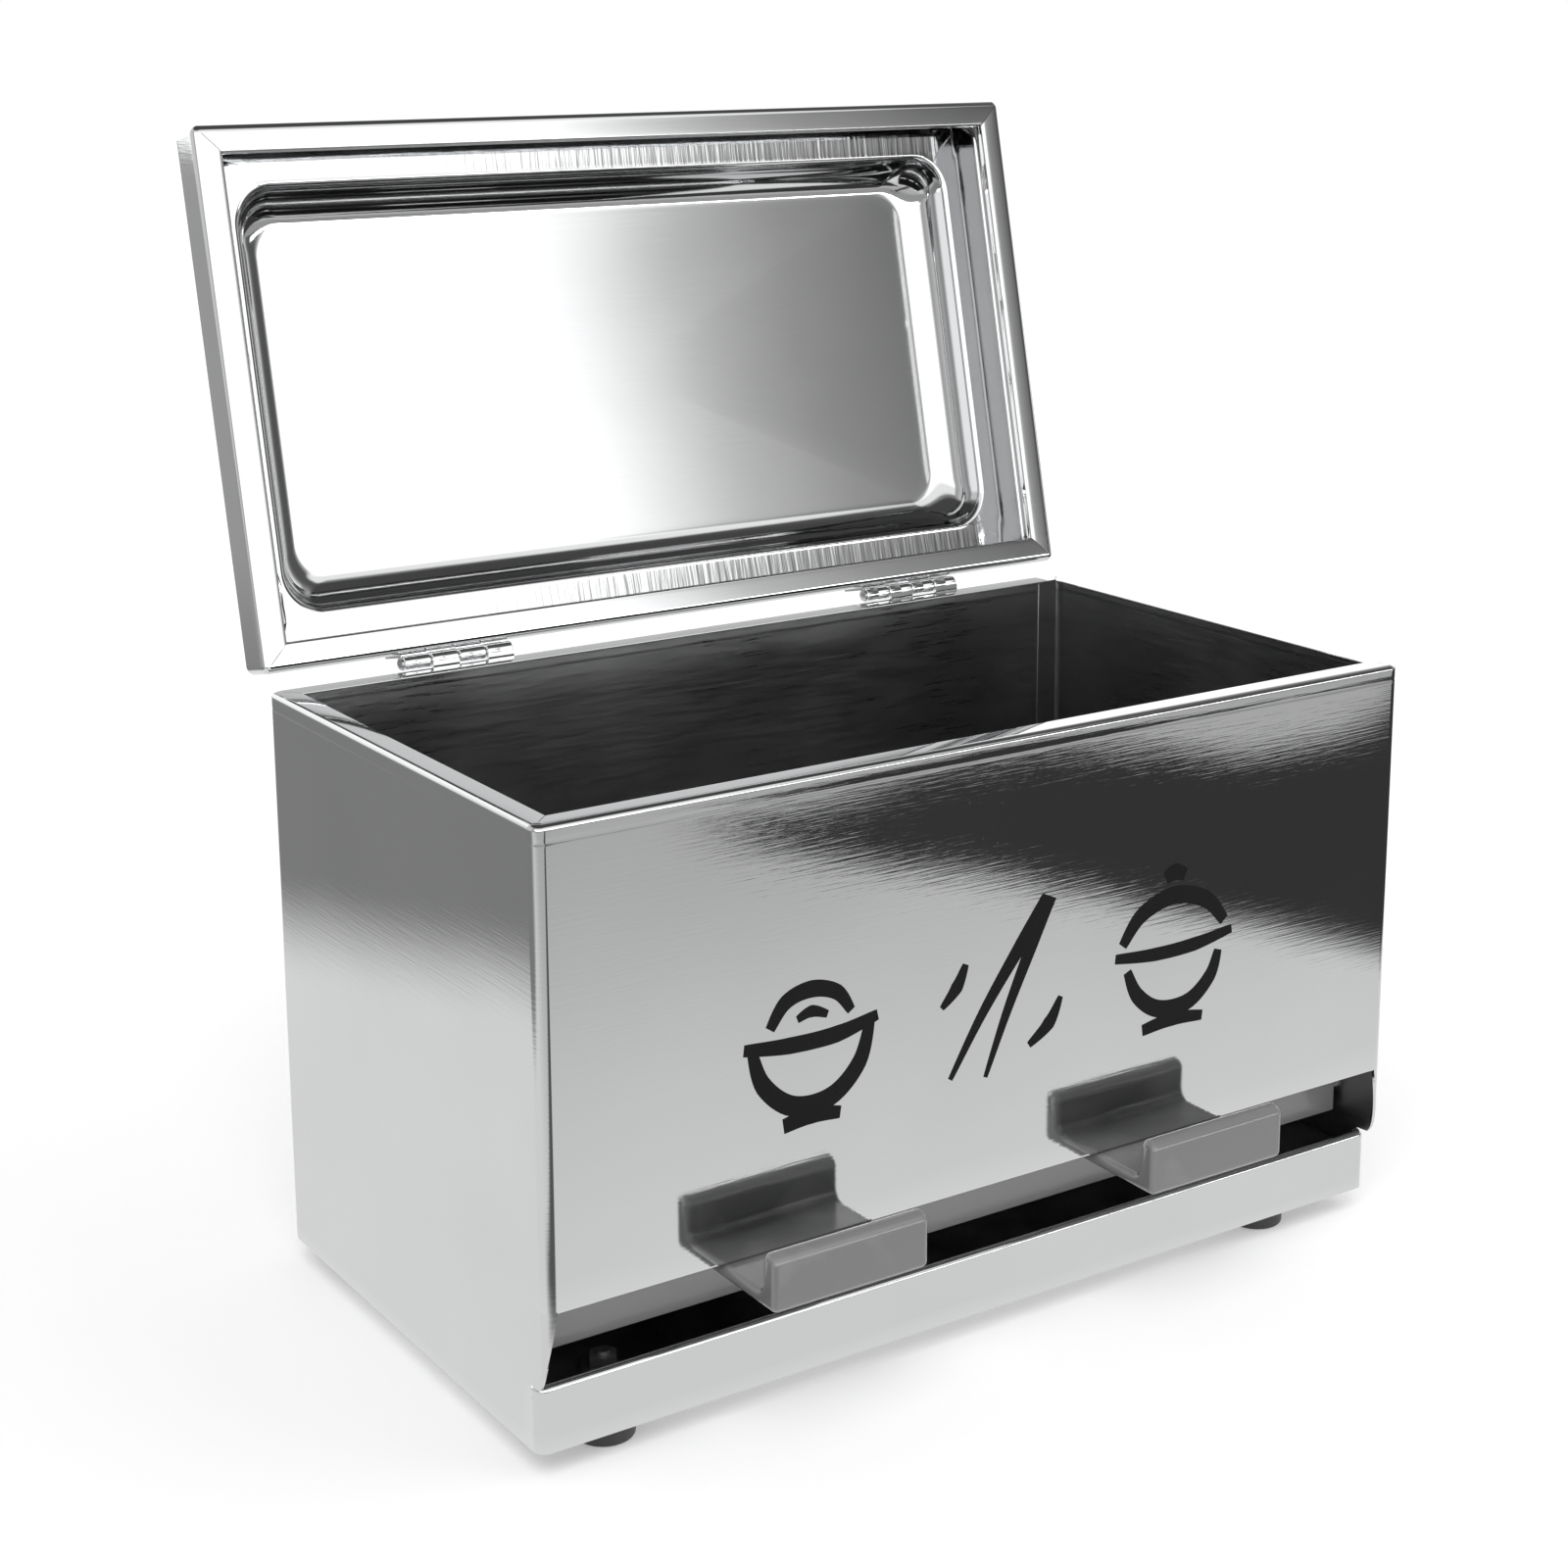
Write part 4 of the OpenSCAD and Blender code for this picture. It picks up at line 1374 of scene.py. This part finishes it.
@dataclass(frozen=True)
class Studio:
    """The pale floor, the soft light, the camera and the surroundings that the steel reflects."""

    sizes: Sizes
    middle: float
    eye: Point = (-436.09, -633.0, 366.64)
    back_way: Point = (-0.53589, -0.81596, 0.21689)
    roll: float = -0.323
    lens: float = 62.4386
    shift: float = -0.1125
    dome_radius: float = 7.0
    floor_glow: float = 0.3
    world_light: float = 0.55
    strip_glow: float = 9.0

    def camera(self) -> None:
        """Creates the camera at the photograph's viewing angle."""
        data = bpy.data.cameras.new("camera")
        data.sensor_width = 36.0
        data.sensor_fit = "HORIZONTAL"
        data.lens = self.lens
        data.shift_y = self.shift
        data.clip_start = 0.01
        data.clip_end = 60.0
        camera = bpy.data.objects.new("camera", data)
        bpy.context.scene.collection.objects.link(camera)
        back = Vector(self.back_way).normalized()
        right = (-back).cross(Vector((0, 0, 1))).normalized()
        up = right.cross(-back)
        r = math.radians(self.roll)
        right, up = right * math.cos(r) + up * math.sin(r), up * math.cos(r) - right * math.sin(r)
        turn = Matrix((right, up, back)).transposed().to_4x4()
        eye = Vector(Workshop(self.sizes, self.middle).stand(self.eye))
        camera.matrix_world = Matrix.Translation(eye) @ turn
        bpy.context.scene.camera = camera

    def sky_tone(self, east: float, height: float) -> float:
        """How bright the surroundings are in a direction.

        Args:
            east: Degrees from the front (-Y) towards the right (+X).
            height: Degrees above the floor.

        Returns:
            The brightness, where 1 is white.
        """
        # Grey walls in front, darker to the right and paler to the sides.
        tone = 0.4 - 0.28 * blend(36, 42, east) + 0.4 * blend(60, 100, abs(east))
        # The broad soft box in front, with a slanting right edge.
        edge = 28.5 + 14 * blend(20, 34, height)
        box = (1.75 - 0.6 * blend(21, 30, height)) * blend(-75, -60, east)
        box *= 1 - blend(edge, edge + 8, east)
        box *= blend(3, 8, height) * (1 - blend(40, 50, height))
        tone = max(tone, box)
        # The bright wall behind, to the right.
        back = abs((east - 150 + 180) % 360 - 180)
        tone = max(tone, 1.5 * (1 - blend(50, 85, back)) * (1 - blend(34, 46, height)))
        # A low, narrow strip lamp that draws bright lines along round edges.
        strip = blend(2, 4, height) * (1 - blend(5, 7, height))
        tone += self.strip_glow * strip * blend(-60, -45, east) * (1 - blend(45, 60, east))
        # The dark ceiling.
        ceiling = blend(44, 56, height)
        return tone * (1 - ceiling) + 0.08 * ceiling

    def floor_tone(self, x: float, y: float) -> float:
        """How bright the table is where the steel reflects it.

        Args:
            x: Metres to the right of the box's middle.
            y: Metres behind the box's middle.

        Returns:
            The brightness, where 1 is white.
        """
        # The table pales towards the holder.
        ahead = max(-0.09 - y, 0.0)
        tone = 0.97 - 0.36 * blend(0.0, 0.5, ahead)
        # It is darker behind to the left, and far away.
        left_back = -0.89 * (x + 0.29) + 0.45 * (y - 0.31)
        tone += (0.29 - tone) * blend(-0.05, 0.05, left_back) * blend(-0.3, 0.0, y)
        tone += (0.42 - tone) * blend(0.75, 1.3, math.hypot(x, y))
        # A dark band lies off the front left corner.
        past_corner = -0.879 * (x + 0.096) - 0.477 * (y + 0.17)
        band = blend(0.012, 0.03, past_corner) * (1 - blend(0.1, 0.16, past_corner))
        tone *= 1 - 0.85 * band * blend(0.02, 0.1, ahead)
        return tone + (0.05 - tone) * self.dark_patch(x, y)

    def dark_patch(self, x: float, y: float) -> float:
        """How much of the dark patch that the front panel reflects lies at a place of the table."""
        near_edge = 0.86 * (x - 0.263) - 0.51 * (y + 0.377)
        soft = 0.008 + 0.05 * blend(0.24, 0.36, x)
        shade = blend(-soft, 0.008, near_edge)
        far_line = -0.56 - 0.018 * math.sin((x - 0.3) * 22) + 0.05 * blend(0.4, 0.47, x)
        return shade * blend(far_line - 0.012, far_line + 0.012, y) * blend(0.16, 0.2, x)

    def toned(self, name: str, sheet: Sheet, tones: Sequence[float]) -> bpy.types.Object:
        """A glowing surface that only reflections see, with a brightness at each point."""
        piece = sheet.drawn(name)
        marks = piece.data.attributes.new("tone", "FLOAT", "POINT")
        marks.data.foreach_set("value", list(tones))
        n = Nodes.new(name + "_glow")
        glow = n.add("ShaderNodeEmission", {"Strength": n.mark("tone")})
        piece.data.materials.append(n.finish(glow))
        for ray in ("camera", "diffuse", "shadow", "volume_scatter"):
            setattr(piece, "visible_" + ray, False)
        return piece

    def surroundings(self) -> None:
        """The dome and the table top that the steel reflects."""
        dome, tones = Sheet(), []
        rows = []
        for height in range(91):
            h = math.radians(height)
            flat, up = self.dome_radius * math.cos(h), self.dome_radius * math.sin(h)
            row = []
            for east in range(-180, 181, 3):
                e = math.radians(east)
                row.append((flat * math.sin(e), -flat * math.cos(e), up))
                tones.append(self.sky_tone(east, height))
            rows.append(row)
        dome.skin(rows)
        self.toned("studio_dome", dome, tones)
        table, tones = Sheet(), []
        near = [-1.2 + 0.01 * i for i in range(241)]
        marks = [-7.2, -3.0, -1.8] + near + [1.8, 3.0, 7.2]
        rows = []
        for y in marks:
            rows.append([(x, y, 0.0006) for x in marks])
            tones += [self.floor_tone(x, y + self.middle * MM) for x in marks]
        table.skin(rows)
        self.toned("studio_table_reflection", table, tones)

    def floor(self) -> None:
        """The pale floor, white to the camera, with the object's soft shadow on it."""
        sheet = Sheet()
        reach = 9.0
        marks = [-reach + 2 * reach * i / 6 for i in range(7)]
        sheet.skin([[(x, y, 0.0) for x in marks] for y in marks])
        piece = sheet.drawn("floor")
        n = Nodes.new("pale_floor")
        colour = n.tint(n.noise(3.0, detail=2.0), grey(0.8), grey(0.82))
        inputs = {"Base Color": colour, "Roughness": 0.9, "Specular IOR Level": 0.0}
        shader = n.add("ShaderNodeBsdfPrincipled", inputs)
        glow = n.add("ShaderNodeEmission", {"Strength": n.math("MULTIPLY", n.seen(), self.floor_glow)})
        both = n.add("ShaderNodeAddShader", {0: shader.outputs[0], 1: glow.outputs[0]})
        piece.data.materials.append(n.finish(both))

    def world(self) -> None:
        """An even white surround, dimmer where it only lights the object."""
        n = Nodes.empty(bpy.data.worlds.new("studio"))
        white = (1, 1, 1, 1)
        lit = n.add("ShaderNodeBackground", {"Color": white, "Strength": self.world_light})
        seen = n.add("ShaderNodeBackground", {"Color": white, "Strength": 1.0})
        mix = n.add("ShaderNodeMixShader", {0: n.seen(), 1: lit.outputs[0], 2: seen.outputs[0]})
        bpy.context.scene.world = n.finish(mix, "ShaderNodeOutputWorld")

    def lamp(self, name: str, way: Point, spread: float, strength: float) -> None:
        """One large soft lamp, far away, that shines along a direction."""
        data = bpy.data.lights.new(name, "SUN")
        data.angle = math.radians(spread)
        data.energy = strength
        lamp = bpy.data.objects.new(name, data)
        bpy.context.scene.collection.objects.link(lamp)
        lamp.matrix_world = Vector(way).to_track_quat("-Z", "Y").to_matrix().to_4x4()
        lamp.visible_glossy = False

    def build(self) -> None:
        """Builds the whole studio."""
        scene = bpy.context.scene
        scene.view_settings.view_transform = "Standard"
        self.world()
        self.floor()
        self.surroundings()
        self.lamp("key", (0.5, 0.6, -1.1), 40.0, 1.1)
        self.lamp("fill", (-0.8, 0.5, -0.9), 50.0, 0.55)
        self.camera()


def main() -> None:
    """Builds every piece in order and reports it."""
    logging.basicConfig(level=logging.INFO, format="%(message)s")
    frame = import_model()
    sizes = Sizes()
    middle = sizes.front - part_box("body_shell")[0].y / MM
    shop = Workshop(sizes, middle)
    fitter = Fitter(frame, Finishes.make())
    Studio(sizes, middle).build()
    BoxShell(sizes).build(shop, fitter)
    PrintedMotifs(sizes).build(shop, fitter)
    PressedLid(sizes).build(shop, fitter)
    lever = PressLever(sizes)
    lever.build(shop, fitter)
    for side in Side:
        ButtHinge(sizes, side).build(shop, fitter)
        ReturnSpring(sizes, lever, side).build(shop, fitter)
        for at_front in (True, False):
            RubberFoot(sizes, side, at_front).build(shop, fitter)
    made = fitter.finishes
    # The hopper floor takes the darker inner finish, which is painted shade.
    kept = {"base_pan": made.plain, "hopper_floor": made.inside, "lever_shaft": made.zinc}
    # The foot fasteners under the box take the darkened zinc, which is painted shade.
    kept.update({node: made.fastener for node in ("foot_screws", "foot_washers", "foot_nuts")})
    for side in Side:
        kept[side.word + "_shaft_bracket"] = made.plain
        kept[side.word + "_shaft_clip"] = made.wire
    for node, material in kept.items():
        fitter.dress(node, material)
    LOG.info("%d pieces fitted", fitter.count)


if __name__ == "__main__":
    main()
